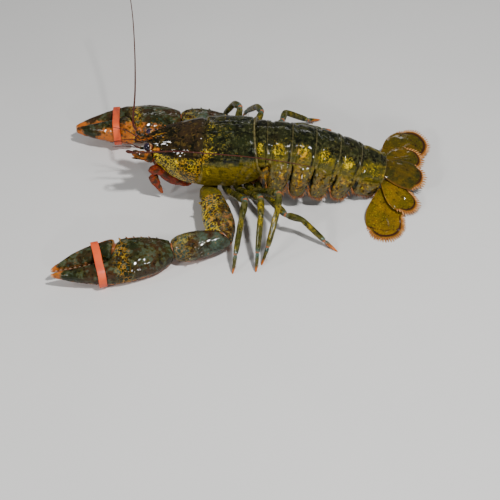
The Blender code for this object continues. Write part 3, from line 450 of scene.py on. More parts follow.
def near_places(places, radius):
    """Rule that is 1 at any of the places and fades over the radius."""
    targets = [np.array(place) for place in places]

    def rule(points):
        value = np.zeros(len(points))
        for target in targets:
            value = np.maximum(value, gauss(np.linalg.norm(points - target, axis=1), radius))
        return value
    return rule


def bumps(points, size, seed):
    """Cheap smooth noise of about unit height."""
    rng = np.random.default_rng(seed)
    total = np.zeros(len(points))
    for _ in range(7):
        wave = rng.normal(size=3) / size * 2.2
        total += np.sin(points @ wave + rng.uniform(0, math.tau))
    return total / 3.5


def linked(name, data):
    """A new object in the scene."""
    piece = bpy.data.objects.new(name, data)
    bpy.context.scene.collection.objects.link(piece)
    return piece


def ringed_tube(name, keys, start, end, ring=0.9, sides=10):
    """A tapered feeler made of fine rings, from a bevelled curve."""
    length = sum((Vector(b) - Vector(a)).length for a, b in zip(keys, keys[1:]))
    count = int(length / ring * 3)
    points = curve_points(keys, count)
    bpy.ops.object.select_all(action="DESELECT")
    data = bpy.data.curves.new(name, "CURVE")
    data.dimensions = "3D"
    spline = data.splines.new("POLY")
    spline.points.add(count - 1)
    for index, point in enumerate(points):
        share = index / (count - 1)
        waist = (1.0, 0.97, 0.84)[index % 3]
        spline.points[index].co = (*(ORIGIN + point * MM), 1.0)
        spline.points[index].radius = blend(start, end, share ** 0.4) * waist
    data.bevel_depth = MM
    data.bevel_resolution = (sides - 4) // 2
    data.use_fill_caps = True
    only(linked(name, data))
    bpy.ops.object.convert(target="MESH")
    return polished(sewn(bpy.context.object))


def bristles(name, roots, radius=0.13, droop=0.15, seed=3, sway=0.16):
    """One mesh of tapered hairs from (root, direction, length) places."""
    rng = random.Random(seed)
    sides, levels = 4, ((0.0, 1.0), (0.45, 0.8), (0.8, 0.45))
    places, faces = [], []
    for root, direction, length in roots:
        direction = Vector(direction).normalized()
        lean = Vector((rng.uniform(-1, 1), rng.uniform(-1, 1), rng.uniform(-1, 0.4))) * sway
        forward = (direction + lean).normalized()
        hair = Frame(root, forward, (0.1, 0.2, 1.0))
        size = length * rng.uniform(0.8, 1.1)
        first = len(places)
        for share, wide in levels:
            bend = Vector((0, 0, -droop * size * share * share))
            for side, up in oval(radius * wide, radius * wide, sides):
                places.append(hair.at(size * share, side, up) + bend)
        places.append(hair.at(size, 0, 0) + Vector((0, 0, -droop * size)))
        for point in places[first:]:
            point.z = max(point.z, HAIR_FLOOR)
        for level in range(len(levels) - 1):
            for side in range(sides):
                a, b = first + level * sides + side, first + level * sides + (side + 1) % sides
                faces.append((a, a + sides, b + sides, b))
        last = first + (len(levels) - 1) * sides
        for side in range(sides):
            faces.append((last + side, len(places) - 1, last + (side + 1) % sides))
        faces.append(tuple(first + side for side in range(sides)))
    data = bpy.data.meshes.new(name)
    data.from_pydata([ORIGIN + place * MM for place in places], [], faces)
    return polished(sewn(linked(name, data), gap=0))


def place(piece, finish, slot, *nodes):
    """Gives a finished piece its finish and body, and hides the nodes that it stands for."""
    piece.data.materials.clear()
    piece.data.materials.append(finish)
    settle(piece, slot, *nodes)


def settle(piece, slot, *nodes):
    """Gives a piece its body, and hides the nodes that it stands for."""
    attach(piece, "root")
    if nodes:
        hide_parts(*nodes)


# Finishes

class Value:
    """A number from a shader node, for sums written as they are read."""

    def __init__(self, finish, socket):
        self.finish = finish
        self.socket = socket

    def sum(self, operation, first, second=0.0):
        return self.finish.node("ShaderNodeMath", {"operation": operation}, {0: first, 1: second})

    def __add__(self, other):
        return self.sum("ADD", self, other)

    def __radd__(self, other):
        return self.sum("ADD", other, self)

    def __sub__(self, other):
        return self.sum("SUBTRACT", self, other)

    def __rsub__(self, other):
        return self.sum("SUBTRACT", other, self)

    def __mul__(self, other):
        return self.sum("MULTIPLY", self, other)

    def __rmul__(self, other):
        return self.sum("MULTIPLY", other, self)

    def most(self, other):
        return self.sum("MAXIMUM", self, other)

    def step(self, low, high):
        """Smoothly from 0 at the low value to 1 at the high one."""
        return self.finish.node("ShaderNodeMapRange", {"interpolation_type": "SMOOTHSTEP"},
                                {"Value": self, "From Min": low, "From Max": high})


class Finish:
    """A procedural material, built node by node on object coordinates."""

    def __init__(self, name):
        self.material = bpy.data.materials.new(name)
        self.material.use_nodes = True
        self.tree = self.material.node_tree
        self.shader = self.tree.nodes["Principled BSDF"]
        self.place = self.node("ShaderNodeTexCoord", {}, {}, "Object")

    def feed(self, socket, value):
        if isinstance(value, Value):
            self.tree.links.new(value.socket, socket)
        elif isinstance(value, (tuple, list)) or hasattr(value, "r"):
            socket.default_value = (*tuple(value)[:3], 1.0) if len(socket.default_value) == 4 else value
        else:
            socket.default_value = value

    def node(self, kind, settings, sockets, output=0):
        node = self.tree.nodes.new(kind)
        for name, value in settings.items():
            setattr(node, name, value)
        for name, value in sockets.items():
            self.feed(node.inputs[name], value)
        return Value(self, node.outputs[output])

    def noise(self, size, detail=3.0, roughness=0.55, distortion=0.0):
        """Cloudy noise with patches about this many millimetres wide."""
        return self.node("ShaderNodeTexNoise", {}, {"Vector": self.place, "Scale": 0.6 / (size * MM),
                         "Detail": detail, "Roughness": roughness, "Distortion": distortion})

    def cells(self, size, feature="F1", warp=0.0):
        """Distance to the middle or the edge of cells about this many millimetres wide."""
        spot = self.place
        if warp:
            clouds = self.node("ShaderNodeTexNoise", {}, {"Vector": self.place, "Scale": 1.1 / (size * MM),
                               "Detail": 2.0}, "Color")
            spot = self.node("ShaderNodeVectorMath", {"operation": "MULTIPLY_ADD"},
                             {0: clouds, 1: (warp * MM,) * 3, 2: self.place})
        return self.node("ShaderNodeTexVoronoi", {"feature": feature},
                         {"Vector": spot, "Scale": 1.0 / (size * MM)}, "Distance")

    def net(self, size, width):
        """1 on the threads of an irregular net."""
        gap = self.cells(size, "DISTANCE_TO_EDGE", size * 1.3)
        return 1.0 - (gap - width).step(-0.03, 0.05)

    def marked(self, name):
        return self.node("ShaderNodeAttribute", {"attribute_name": name}, {}, "Fac")

    def mix(self, share, first, second):
        return self.node("ShaderNodeMix", {"data_type": "RGBA"}, {0: share, 6: first, 7: second}, 2)

    def layered(self, ground, *layers):
        """A ground under (share, colour) layers."""
        for share, colour in layers:
            ground = self.mix(share, ground, colour)
        return ground

    def done(self, colour, roughness, height=None, depth=0.3, strength=0.5, **constants):
        """Feeds the shader; the height raises bumps of this depth in millimetres."""
        self.feed(self.shader.inputs["Base Color"], colour)
        self.feed(self.shader.inputs["Roughness"], roughness)
        if height is not None:
            bump = self.node("ShaderNodeBump", {}, {"Height": height, "Distance": depth * MM,
                             "Strength": strength})
            self.feed(self.shader.inputs["Normal"], bump)
        for name, value in constants.items():
            label = name.replace("_", " ").title().replace("Ior", "IOR")
            self.shader.inputs[label].default_value = value
        return self.material


WET = dict(coat_weight=0.42, coat_roughness=0.02, specular_ior_level=0.0)


def once(maker):
    """Builds a finish from the colour settings the first time that it is asked for."""
    def wrapped():
        made = bpy.data.materials.get(maker.__name__)
        return made or maker(Finish(maker.__name__), bpy.context.scene.lobster_colours)
    return wrapped


@once
def back_shell(finish, shade):
    """Near-black back, olive flanks, and yellow nets and flecks, wet and finely pitted."""
    olive, yellow, edge = finish.marked("olive"), finish.marked("yellow"), finish.marked("edge")
    orange, fleck, green = finish.marked("orange"), finish.marked("fleck"), finish.marked("green")
    broad, middle, small = finish.noise(15, 3), finish.noise(4.0, 4), finish.noise(2.2, 3, 0.6)
    fine, grain = finish.noise(1.3, 4, 0.65), finish.noise(0.7, 3, 0.6)
    ground = finish.mix((0.6 * broad + 0.4 * middle).step(0.40, 0.60), shade.shell_dark, shade.shell_brown)
    ground = finish.layered(
        ground,
        (green * (0.35 + 0.65 * middle.step(0.35, 0.65)), shade.shell_green),
        (small.step(0.50, 0.68) * (0.25 + 0.5 * green), shade.shell_moss),
        (grain.step(0.44, 0.28) * 0.85, shade.shell_dark))
    cloud = finish.mix(green, shade.lobe_brown, shade.lobe_grey)
    ground = finish.layered(
        ground,
        ((fine + small - 1.0).step(0.04, 0.16) * 0.36, cloud),
        ((fine + middle - 1.0).step(-0.06, -0.18), shade.shell_dark))
    low = finish.mix(middle.step(0.34, 0.62), shade.shell_moss, shade.shell_olive)
    low = finish.layered(
        low,
        ((olive - 0.75).step(0.0, 0.25) * 0.7, shade.shell_gold),
        (small.step(0.50, 0.36) * 0.6, shade.shell_green),
        (fine.step(0.46, 0.34) * 0.7, shade.shell_moss),
        (grain.step(0.60, 0.70) * 0.30, shade.shell_yellow))
    lobe = finish.marked("lobe")
    low = finish.layered(
        low,
        (lobe * middle.step(0.30, 0.54), shade.lobe_brown),
        (lobe * small.step(0.46, 0.58) * 0.7, shade.lobe_grey),
        (lobe * (small + fine - 1.0).step(-0.06, -0.16), shade.shell_dark),
        (lobe * (0.6 * middle + 0.4 * fine).step(0.56, 0.64) * 0.7, shade.shell_amber),
        (lobe * (fine - 0.60).step(0.0, 0.05) * 0.7, shade.shell_yellow))
    # Where the tail rings lower the olive mark, in the clefts between lobes and the hollows before their
    # rear rims, the dark ground stays as painted shade.
    ground = finish.mix((olive + 0.6 * (middle - 0.5) + 0.3 * (fine - 0.5)).step(0.15, 0.65), ground, low)
    bed = (yellow + 0.5 * (middle - 0.5)).step(0.15, 0.6)
    greens = finish.mix(fine.step(0.4, 0.6), shade.shell_green, shade.shell_moss)
    ground = finish.mix(bed * 0.75, ground, greens)
    reach = (yellow + 0.9 * (middle - 0.5)).step(0.2, 0.5)
    patch = finish.marked("patch")
    threads = finish.net(3.1, 0.002 + 0.052 * yellow * (1.0 - 0.6 * patch)) * reach * grain.step(0.30, 0.42)
    blobs = 0.5 * middle + 0.5 * small - 0.60 + 0.09 * patch
    blobs = blobs.step(-0.02, 0.03) * (yellow - 0.50).step(0.0, 0.30)
    threads = threads.most(blobs) * (1.0 - 0.9 * (small - 0.42).step(0.0, -0.08))
    thread_colour = finish.mix(broad.step(0.44, 0.62) * 0.8, shade.shell_yellow, shade.shell_amber)
    thread_colour = finish.mix(fine.step(0.54, 0.64) * 0.6, thread_colour, shade.shell_moss)
    ground = finish.mix(threads * 0.95, ground, thread_colour)
    flecks = (0.6 * fine + 0.4 * grain - (0.70 - 0.14 * fleck)).step(-0.02, 0.03)
    fleck_colour = finish.mix((yellow * 2.5).step(0.2, 0.9), shade.shell_olive, shade.shell_yellow)
    ground = finish.layered(
        ground,
        (flecks * middle.step(0.36, 0.52) * 0.8, fleck_colour),
        # pale rims, and on the tail's flaps a painted highlight line
        (edge * fine.step(0.25, 0.55), shade.pale_rim_and_highlight))
    warm = finish.mix(middle.step(0.42, 0.58), shade.spine_orange, shade.shell_amber)
    ground = finish.mix((orange + 0.25 * (fine - 0.5)).step(0.2, 0.75), ground, warm)
    pits = finish.cells(1.4).step(0.08, 0.30)
    height = pits * 0.7 + fine * 0.9 + grain * 0.5 + small * 1.6
    rough = 0.18 + 0.2 * fine.step(0.3, 0.7)
    return finish.done(ground, rough, height, 0.40, 0.8, **WET)


@once
def tail_shell(finish, shade):
    """Amber plates with a dark band inside an orange-brown rim; the telson and the right-hand plates are
    darkened with painted shade.
    """
    rim, band, rib = finish.marked("rim"), finish.marked("band"), finish.marked("rib")
    broad, middle = finish.noise(10, 3), finish.noise(3.2, 4)
    fine, grain = finish.noise(1.1, 4, 0.7), finish.noise(0.6, 3, 0.6)
    ground = finish.mix(broad.step(0.36, 0.62), shade.tail_amber, shade.tail_olive)
    ground = finish.layered(
        ground,
        (middle.step(0.52, 0.70) * 0.45, shade.shell_moss),
        (fine.step(0.38, 0.26) * 0.6, shade.shell_brown),
        (grain.step(0.58, 0.68) * 0.4, shade.shell_yellow),
        # painted shade: darker green laid over the telson and the right-hand plates
        (finish.marked("dim") * (0.3 + middle), shade.shell_green),
        (rib * 0.6, shade.shell_brown),
        ((band + 0.5 * (middle - 0.5) * band).step(0.15, 0.7), shade.tail_band),
        (rim, finish.mix(fine, shade.tail_rim, shade.bristle)))
    specks = finish.cells(1.9, warp=1.0).step(0.26, 0.12) * middle.step(0.40, 0.50)
    ground = finish.mix(specks * 0.9, ground, shade.shell_brown)
    dots = (fine + finish.noise(2.0, 3) - 1.0).step(-0.12, -0.24)
    ground = finish.mix(dots * (1.0 - rim) * 0.8, ground, shade.shell_dark)
    height = fine * 0.8 + finish.cells(1.6).step(0.1, 0.3) * 0.4
    return finish.done(ground, 0.14 + 0.2 * fine.step(0.3, 0.7), height, 0.24, 0.55, **WET)


@once
def claw_shell(finish, shade):
    """Dark brown-green with orange speckles, orange underneath and on the inner edge."""
    warm, joint, orange = finish.marked("warm"), finish.marked("yellow"), finish.marked("orange")
    broad, middle, small = finish.noise(16, 4), finish.noise(4.6, 4), finish.noise(2.3, 3, 0.6)
    fine, grain = finish.noise(1.3, 4, 0.7), finish.noise(0.7, 3, 0.6)
    ground = finish.mix(broad.step(0.38, 0.62), shade.claw_brown, shade.shell_green)
    ground = finish.layered(
        ground,
        (middle.step(0.44, 0.64) * (0.6 + 0.4 * joint), shade.shell_moss),
        (small.step(0.44, 0.32) * 0.8, shade.shell_dark),
        (grain.step(0.40, 0.26), shade.shell_dark),
        (joint * (0.5 * middle + 0.5 * small).step(0.50, 0.60), shade.leg_blue))
    grey = finish.marked("grey") * (0.4 * broad + 0.6 * middle).step(0.40, 0.56)
    ground = finish.mix(grey, ground, finish.mix(fine.step(0.40, 0.62), shade.lobe_grey, shade.leg_blue))
    blush = (warm + 1.3 * (middle - 0.5) + 0.9 * (small - 0.5) + 0.5 * (fine - 0.5)).step(0.25, 0.85)
    orange_red = finish.mix(middle.step(0.3, 0.7), shade.claw_orange, shade.spine_orange)
    ground = finish.mix(blush, ground, orange_red)
    specks = (fine - (0.74 - 0.13 * joint - 0.05 * warm - 0.3 * (broad - 0.5))).step(-0.03, 0.03)
    threads = (finish.net(3.4, 0.055) * middle.step(0.30, 0.46)).most(
        (small - 0.61).step(-0.02, 0.03)) * (joint - 0.3).step(0.0, 0.4)
    speck_colour = finish.mix(broad.step(0.44, 0.56), shade.shell_yellow, shade.shell_amber)
    speck_colour = finish.mix(fine.step(0.54, 0.64) * 0.5, speck_colour, shade.shell_olive)
    ground = finish.mix(specks.most(threads) * grain.step(0.3, 0.44) * 0.92, ground, speck_colour)
    dark_spots = finish.cells(2.9, warp=1.8).step(0.34, 0.18) * (warm + joint).step(0.2, 0.7)
    ground = finish.mix(dark_spots * 0.9, ground, finish.mix(fine, shade.shell_dark, shade.leg_blue))
    plain = finish.mix((0.5 * middle + 0.5 * fine).step(0.40, 0.60), shade.shell_olive, shade.shell_moss)
    ground = finish.layered(
        ground,
        (finish.marked("plain"), plain),
        (orange.step(0.2, 0.8), shade.tooth_cream))
    pits = finish.cells(1.8).step(0.06, 0.26)
    height = pits * 0.8 + fine * 0.9 + small * 1.2 + finish.noise(2.6, 2, 0.4).step(0.6, 0.8) * 0.5
    return finish.done(ground, 0.12 + 0.30 * fine.step(0.3, 0.7), height, 0.34, 0.7, **WET)


@once
def leg_shell(finish, shade):
    """Olive green, blue-grey at the joints, dark spotted, with red-orange toes."""
    joint, tip = finish.marked("joint"), finish.marked("tip")
    broad, middle, fine = finish.noise(8, 3), finish.noise(3.4, 4), finish.noise(1.0, 4, 0.7)
    ground = finish.mix(broad.step(0.42, 0.62), shade.leg_olive, shade.shell_olive)
    ground = finish.layered(
        ground,
        (middle.step(0.42, 0.56) * 0.95, shade.shell_moss),
        (finish.noise(2.0, 3).step(0.46, 0.34) * 0.8, shade.shell_green),
        ((joint + 0.9 * (middle - 0.5)).step(0.25, 0.8) * 0.8, shade.leg_blue))
    spots = finish.cells(2.4, warp=1.6).step(0.36, 0.2)
    ground = finish.layered(
        ground,
        (spots * 0.9, shade.shell_dark),
        ((fine * broad).step(0.30, 0.37) * 0.35, shade.shell_yellow),
        ((tip + 0.4 * (fine - 0.5)).step(0.3, 0.95), shade.spine_orange))
    return finish.done(ground, 0.22 + 0.3 * fine, fine + middle, 0.22, 0.6, **WET)


@once
def mouth_shell(finish, shade):
    """Orange-red, mottled with olive."""
    broad, fine = finish.noise(6, 4), finish.noise(0.9, 4, 0.7)
    ground = finish.mix(broad.step(0.50, 0.80), shade.mouth_red, shade.claw_orange)
    ground = finish.layered(
        ground,
        (finish.noise(3.2, 3).step(0.44, 0.60) * 0.85, shade.shell_brown),
        (fine.step(0.58, 0.66) * 0.6, shade.shell_amber))
    return finish.done(ground, 0.2 + 0.25 * fine, fine, 0.2, 0.5, **WET)


@once
def belly_shell(finish, shade):
    """Pale orange cream with brown clouds."""
    broad, fine = finish.noise(8, 4), finish.noise(1.0, 4, 0.7)
    ground = finish.mix(broad.step(0.42, 0.66), shade.belly_cream, shade.claw_orange)
    return finish.done(ground, 0.28 + 0.2 * fine, fine, 0.2, 0.4, **WET)


@once
def joint_skin(finish, shade):
    """The soft skin inside the joints."""
    fine = finish.noise(0.9, 3)
    ground = finish.mix(fine.step(0.4, 0.6), shade.joint_pink, shade.claw_orange)
    return finish.done(ground, 0.35, fine, 0.15, 0.4, coat_weight=0.3)


@once
def feeler_shell(finish, shade):
    """Dark red-brown with paler rings here and there."""
    broad, fine = finish.noise(7, 3), finish.noise(0.7, 3)
    ground = finish.mix(broad.step(0.42, 0.62), shade.feeler_red, shade.feeler_dark)
    ground = finish.mix(fine.step(0.58, 0.68) * 0.2, ground, shade.spine_orange)
    return finish.done(ground, 0.25, fine, 0.1, 0.3, **WET)


@once
def bristle_hair(finish, shade):
    """Orange-brown hairs, darker here and there."""
    broad = finish.noise(4, 3)
    ground = finish.mix(broad.step(0.4, 0.62), shade.bristle, shade.tail_rim)
    return finish.done(ground, 0.42)


@once
def comb_hair(finish, shade):
    """Pale tan teeth of the tail fan's fringe."""
    ground = finish.mix(finish.noise(3, 3).step(0.4, 0.62), shade.comb_tan, shade.bristle)
    return finish.done(ground, 0.35)


@once
def dark_hair(finish, shade):
    """Short brown bristles on the legs."""
    ground = finish.mix(finish.noise(4, 2).step(0.4, 0.6), shade.claw_brown, shade.tail_rim)
    return finish.done(ground, 0.45)


@once
def eye_glass(finish, shade):
    """Black cornea with a faint net of facets and a violet cast."""
    broad = finish.noise(2.5, 2)
    ground = finish.mix(broad.step(0.4, 0.7), shade.eye_black, shade.eye_violet)
    return finish.done(ground, 0.10 + 0.06 * broad, finish.cells(0.35), 0.05, 0.25, coat_weight=0.35,
                       coat_roughness=0.03, specular_ior_level=0.3)


@once
def eye_rim(finish, shade):
    """Pale skin round the cornea and along the stalk."""
    ground = finish.mix(finish.noise(1.4, 3).step(0.4, 0.62), shade.belly_cream, shade.mouth_red)
    return finish.done(ground, 0.3, finish.noise(0.6, 2), 0.1, 0.4, **WET)


@once
def band_rubber(finish, shade):
    """Salmon-orange rubber, slightly dusty and stretched."""
    broad, fine = finish.noise(7, 3), finish.noise(0.5, 4, 0.7)
    ground = finish.mix(broad.step(0.36, 0.68), shade.band_salmon, shade.band_deep)
    return finish.done(ground, 0.38 + 0.2 * fine, fine, 0.08, 0.35)


# Carapace and head

carapace_half = profile((-85, 14.5), (-80, 16.0), (-71, 20.2), (-60, 24.4), (-46, 27.3), (-25, 28.0),
                        (-8, 27.0), (6, 26.0))
carapace_top = profile((-85, 60.0), (-75, 62.6), (-60, 66.0), (-46, 69.0), (-25, 70.4), (-8, 69.6),
                       (6, 68.0))
carapace_low = profile((-85, 41.0), (-80, 36.5), (-71, 29.5), (-60, 25.5), (-46, 23.5), (-20, 22.2),
                       (-8, 24.4), (0, 28.4), (6, 34.5))
carapace_sweep = profile((-85, 0), (-80, 0), (-76, 1), (-68, 0), (-58, -3), (-48, -6), (-41, -9.5),
                         (-28, -3), (-14, 1), (-4, 4), (0, REAR_SWEEP))
beak_top = profile((-99, 54.5), (-95, 55.2), (-90, 57.2), (-84, 60.4), (-76, 63.3), (-66, 64.9))
beak_half = profile((-99, 0.5), (-96, 1.6), (-90, 2.9), (-84, 3.9), (-76, 4.4), (-66, 3.2))
beak_thick = profile((-99, 0.9), (-92, 3.4), (-84, 5.0), (-66, 6.0))


def carapace_point(x, height, side, shrink=0.0):
    """Point of the carapace at a height share: 0 at the hem, 1 on the back."""
    half, top, low = carapace_half(x) - shrink, carapace_top(x) - shrink, carapace_low(x)
    middle = low + FLANK * (top - low)
    if height < FLANK:
        share = 1 - height / FLANK
        return Vector((x, side * half * (1 - (1 - HEM) * share * share),
                       low + (middle - low) * height / FLANK))
    angle = (height - FLANK) / (1 - FLANK) * math.pi / 2
    return Vector((x, side * half * math.cos(angle) ** 0.94,
                   middle + (top - middle) * math.sin(angle) ** 0.94))


def height_share(points):
    """Height share of many points on the carapace."""
    x = np.clip(points[:, 0], -85, 6)
    low, top = sampled(carapace_low, x), sampled(carapace_top, x)
    share = np.clip((points[:, 2] - low) / (top - low), 0, 1)
    upper = FLANK + (1 - FLANK) * np.arcsin(np.clip((share - FLANK) / (1 - FLANK), 0, 1)) / (math.pi / 2)
    return np.where(share < FLANK, share, upper)


def carapace_relief(points):
    """Neck groove, rear rim, back line, brow ridges, cheek swelling and faint unevenness."""
    x, y, z = points[:, 0], np.abs(points[:, 1]), points[:, 2]
    share = height_share(points)
    lowness = (1 - share) ** 1.4
    upper = step(share, 0.06, 0.3)
    depth = bpy.context.scene.lobster_sizes.groove_depth
    raised = -depth * gauss(x - (NECK_X + NECK_SWEEP * lowness), 1.3) * upper
    raised += 0.45 * gauss(x - (NECK_X + 3.4 + NECK_SWEEP * lowness), 2.2) * upper
    rear = x - REAR_SWEEP * lowness
    raised += -0.9 * gauss(rear + 3.0, 0.8) * upper + 0.35 * gauss(rear + 0.9, 0.9) * upper
    on_back = step(z, 58, 63) * step(x, -70, -62) * step(-x, 2.5, 4.5)
    raised += -0.4 * gauss(y, 0.55) * on_back
    raised += -0.45 * gauss(y - 9.5 - 0.03 * x, 0.9) * on_back * step(x, -40, -36)
    raised += 0.8 * gauss(y - (9.4 + 0.10 * (x + 80)), 1.3) * step(-x, 58, 66) * step(z, 55, 58)
    raised += 0.9 * gauss(share - 0.3, 0.2) * gauss(x + 60, 11)
    hem = gauss(share, 0.035) * step(x, -80, -74)
    raised += 0.5 * hem
    raised += 0.20 * bumps(points, 9.0, 3)
    return raised + 0.12 * bumps(points, 4.0, 5) + 0.08 * bumps(points, 1.8, 9)


def beak():
    """The pointed beak between the eyes, hollow along its top and edged with spines."""
    rings = []
    for index in range(17):
        x = blend(-99.0, -66.0, index / 16)
        high, wide = beak_top(x), beak_half(x)
        rings.append([Vector((x, wide * share, high + lift)) for share, lift in (
            (-1.0, -0.6), (-0.92, 0.25), (-0.72, 0.5), (-0.35, -0.25), (0.0, -0.55), (0.35, -0.25),
            (0.72, 0.5), (0.92, 0.25), (1.0, -0.6))]
            + [Vector((x, wide * 0.55, high - beak_thick(x))),
               Vector((x, -wide * 0.55, high - beak_thick(x)))])
    parts = [swept("beak", rings, 2)]
    tips = [Vector((-99.0, 0.0, beak_top(-99.0)))]
    for x, reach in BEAK_SPINES:
        for side in SIDES.values():
            foot = Vector((x, side * beak_half(x) * 0.75, beak_top(x) - 0.4))
            spike(parts, tips, foot, foot + Vector((-reach, side * 1.1, 1.5)), 1.0)
    return parts, tips


def build_carapace():
    """The shell of back and flanks, welded to its beak and spines."""
    heights = [FLANK * index / 9 for index in range(9)]
    heights += [blend(FLANK, 1.0, (index / 16) ** 0.9) for index in range(17)]
    loop = [(height, LEFT) for height in heights] + [(height, RIGHT) for height in heights[-2::-1]]
    stations = [blend(-85.0, 0.0, index / 46) for index in range(47)]
    rings = []
    for x in stations:
        ring = []
        for height, side in loop:
            ring.append(carapace_point(x + carapace_sweep(x) * (1 - height) ** 1.4, height, side))
        hem = ring[-1]
        ring += [Vector((hem.x, hem.y * share, hem.z)) for share in (0.6, 0.2, -0.2, -0.6)]
        rings.append(ring)
    rear = rings[-1]
    for inset, forward in ((0.03, 0.0), (0.07, -0.9), (0.2, -1.4)):
        rings.append([blend(point, Vector((point.x, 0.0, 46.0)), inset) + Vector((forward, 0, 0))
                      for point in rear])
    parts = [swept("back", rings, 1)]
    beak_parts, tips = beak()
    for side in SIDES.values():
        for x in BROW_SPINES:
            foot = carapace_point(x, 0.86, side)
            spike(parts, tips, foot + Vector((1.5, 0, -1.2)), foot + Vector((-3.2, 0.3 * side, 1.5)), 1.3)
        cheek = carapace_point(-80.0, FLANK, side)
        foot, tip = cheek + Vector((2.0, -1.5 * side, 0)), cheek + Vector((-4.5, 1.0 * side, 0.6))
        spike(parts, tips, foot, tip, 1.4)
        temple = carapace_point(TEMPLE_SPINE, TEMPLE_HEIGHT, side)
        foot, tip = temple + Vector((3.0, -0.6 * side, -0.4)), temple + Vector((-6.4, 0.4 * side, 0.3))
        tips += [tip, foot.lerp(tip, 0.4), foot.lerp(tip, 0.7)]
        parts.append(thorn(foot, tip, 1.4))
    shell = welded("carapace_shell", parts + beak_parts, 0.5, 2)
    relief(shell, carapace_relief)
    for side in SIDES.values():
        socket = knob(mirrored(EYE_PLACE, side), ORBIT_RADIUS)
        only(shell)
        modify(shell, "BOOLEAN", operation="DIFFERENCE", object=socket, solver="EXACT")
        bpy.data.objects.remove(socket, do_unlink=True)
    only(shell)
    bpy.ops.object.shade_smooth_by_angle(angle=math.radians(50))

    def neck(points):
        return points[:, 0] - (NECK_X + NECK_SWEEP * (1 - height_share(points)) ** 1.4)

    def olive(points):
        share = height_share(points)
        return step(-share, -0.60, -0.44) * step(neck(points), -3, 3) + 0.35 * step(-share, -0.5, -0.3)

    def yellow(points):
        share, past = height_share(points), neck(points)
        cheek = step(-share, -0.62, -0.50) * step(-past, -2, 2)
        corner = gauss(past - 2.0, 3.0) * gauss(share - 0.60, 0.06)
        speckle = 0.24 * gauss(past - 5.0, 5.0) + 0.3 * gauss(share - 0.66, 0.05) * gauss(past - 14, 9)
        return np.clip(0.98 * cheek + 0.8 * corner + speckle, 0, 1)

    def fleck(points):
        past = neck(points)
        return np.clip(0.9 * gauss(past - 8, 11) + 0.55 * step(past, 0, 4) + 0.15, 0, 1)

    def ridge(points):
        x, y = points[:, 0], np.abs(points[:, 1])
        along = step(-x, 68, 78)
        on_beak = 0.55 * gauss(y - sampled(beak_half, np.clip(x, -99, -66)) * 0.85, 0.6) * along
        return on_beak * step(points[:, 2], 50, 54)

    def edge(points):
        rear = points[:, 0] - REAR_SWEEP * (1 - height_share(points)) ** 1.4
        return 0.7 * gauss(rear + 0.8, 0.7) + 0.4 * gauss(height_share(points), 0.03)

    mark(shell, olive=olive, yellow=yellow, edge=edge, fleck=fleck,
         green=lambda points: step(neck(points), -6, 8),
         orange=lambda points: np.maximum(near_places(tips, 1.8)(points), ridge(points)))
    place(shell, back_shell(), "shell_back", "carapace")


def build_eyes():
    """Round black eyes in pale collars on short stalks."""
    for tag, side in SIDES.items():
        x, y, z = EYE_PLACE
        centre = mirrored(EYE_PLACE, side)
        root = Vector((x + 5.6, (y - 2.2) * side, z - 1.6))
        axis = Frame(centre, root - centre)
        ball = knob(centre, EYE_RADIUS * 0.985)
        ball.data.materials.append(eye_glass())
        rings = []
        for along, size in ((0.2, 0.90), (0.9, 0.99), (1.7, 0.93), (2.6, 0.72), (3.4, 0.62), (5.0, 0.58)):
            rings.append(axis.ring(oval(EYE_RADIUS * size, EYE_RADIUS * size, 24), along))
        stalk = swept("stalk", rings, 1)
        stalk.data.materials.append(eye_rim())
        piece = joined("eyeball_" + tag, [ball, stalk])
        settle(piece, "eyes", "eye_" + tag)


def build_feelers():
    """Antennae with their jointed bases and scales, and the small forked feelers."""
    ring = bpy.context.scene.lobster_sizes.feeler_ring
    for tag, side in SIDES.items():
        base = fine_copy("antenna_base_" + tag, "antenna_root_" + tag, 0)
        modify(base, "REMESH", mode="VOXEL", voxel_size=0.3 * MM)
        modify(base, "SMOOTH", factor=0.5, iterations=8)
        polished(base)
        relief(base, lambda points: 0.25 + 0.12 * bumps(points, 1.6, 2))
        mark(base, warm=0.42)
        place(base, claw_shell(), "mouthparts", "antenna_base_" + tag)
        whip = ringed_tube("antenna_whip_" + tag, [mirrored(key, side) for key in FEELERS[tag]],
                           1.22, 0.32, ring)
        place(whip, feeler_shell(), "feelers", "feeler_near_" + tag, "feeler_far_" + tag)
        stem = [mirrored(key, side) for key in ((-84.9, 4.0, 48.4), (-88.5, 4.4, 49.0), (-92.5, 4.9, 49.6),
                                                (-97.0, 5.4, 50.2))]
        rings = tapered(stem, (1.5, 1.7, 1.5, 1.2, 1.5, 1.4, 1.1, 1.3, 1.0), 1.0, 14)
        parts = [swept("antennule_stem_" + tag, rings, 1)]
        for tip, bow in (((-119.0, 10.0, 60.0), 3.0), ((-119.0, 3.6, 50.0), 1.2)):
            start, end = stem[-1] + Vector((1.0, 0, 0)), mirrored(tip, side)
            middle = start.lerp(end, 0.5) + Vector((0, 0, bow))
            parts.append(ringed_tube("branch", [start, middle, end], 0.85, 0.22, ring * 0.7, 8))
        stem = parts.pop(0)
        modify(stem, "REMESH", mode="VOXEL", voxel_size=0.25 * MM)
        relief(stem, lambda points: 0.30 * bumps(points, 1.2, 12))
        mark(stem, warm=0.30, yellow=0.35)
        place(stem, claw_shell(), "feelers")
        place(joined("antennule_fork_" + tag, parts), feeler_shell(), "feelers", "antennule_" + tag)


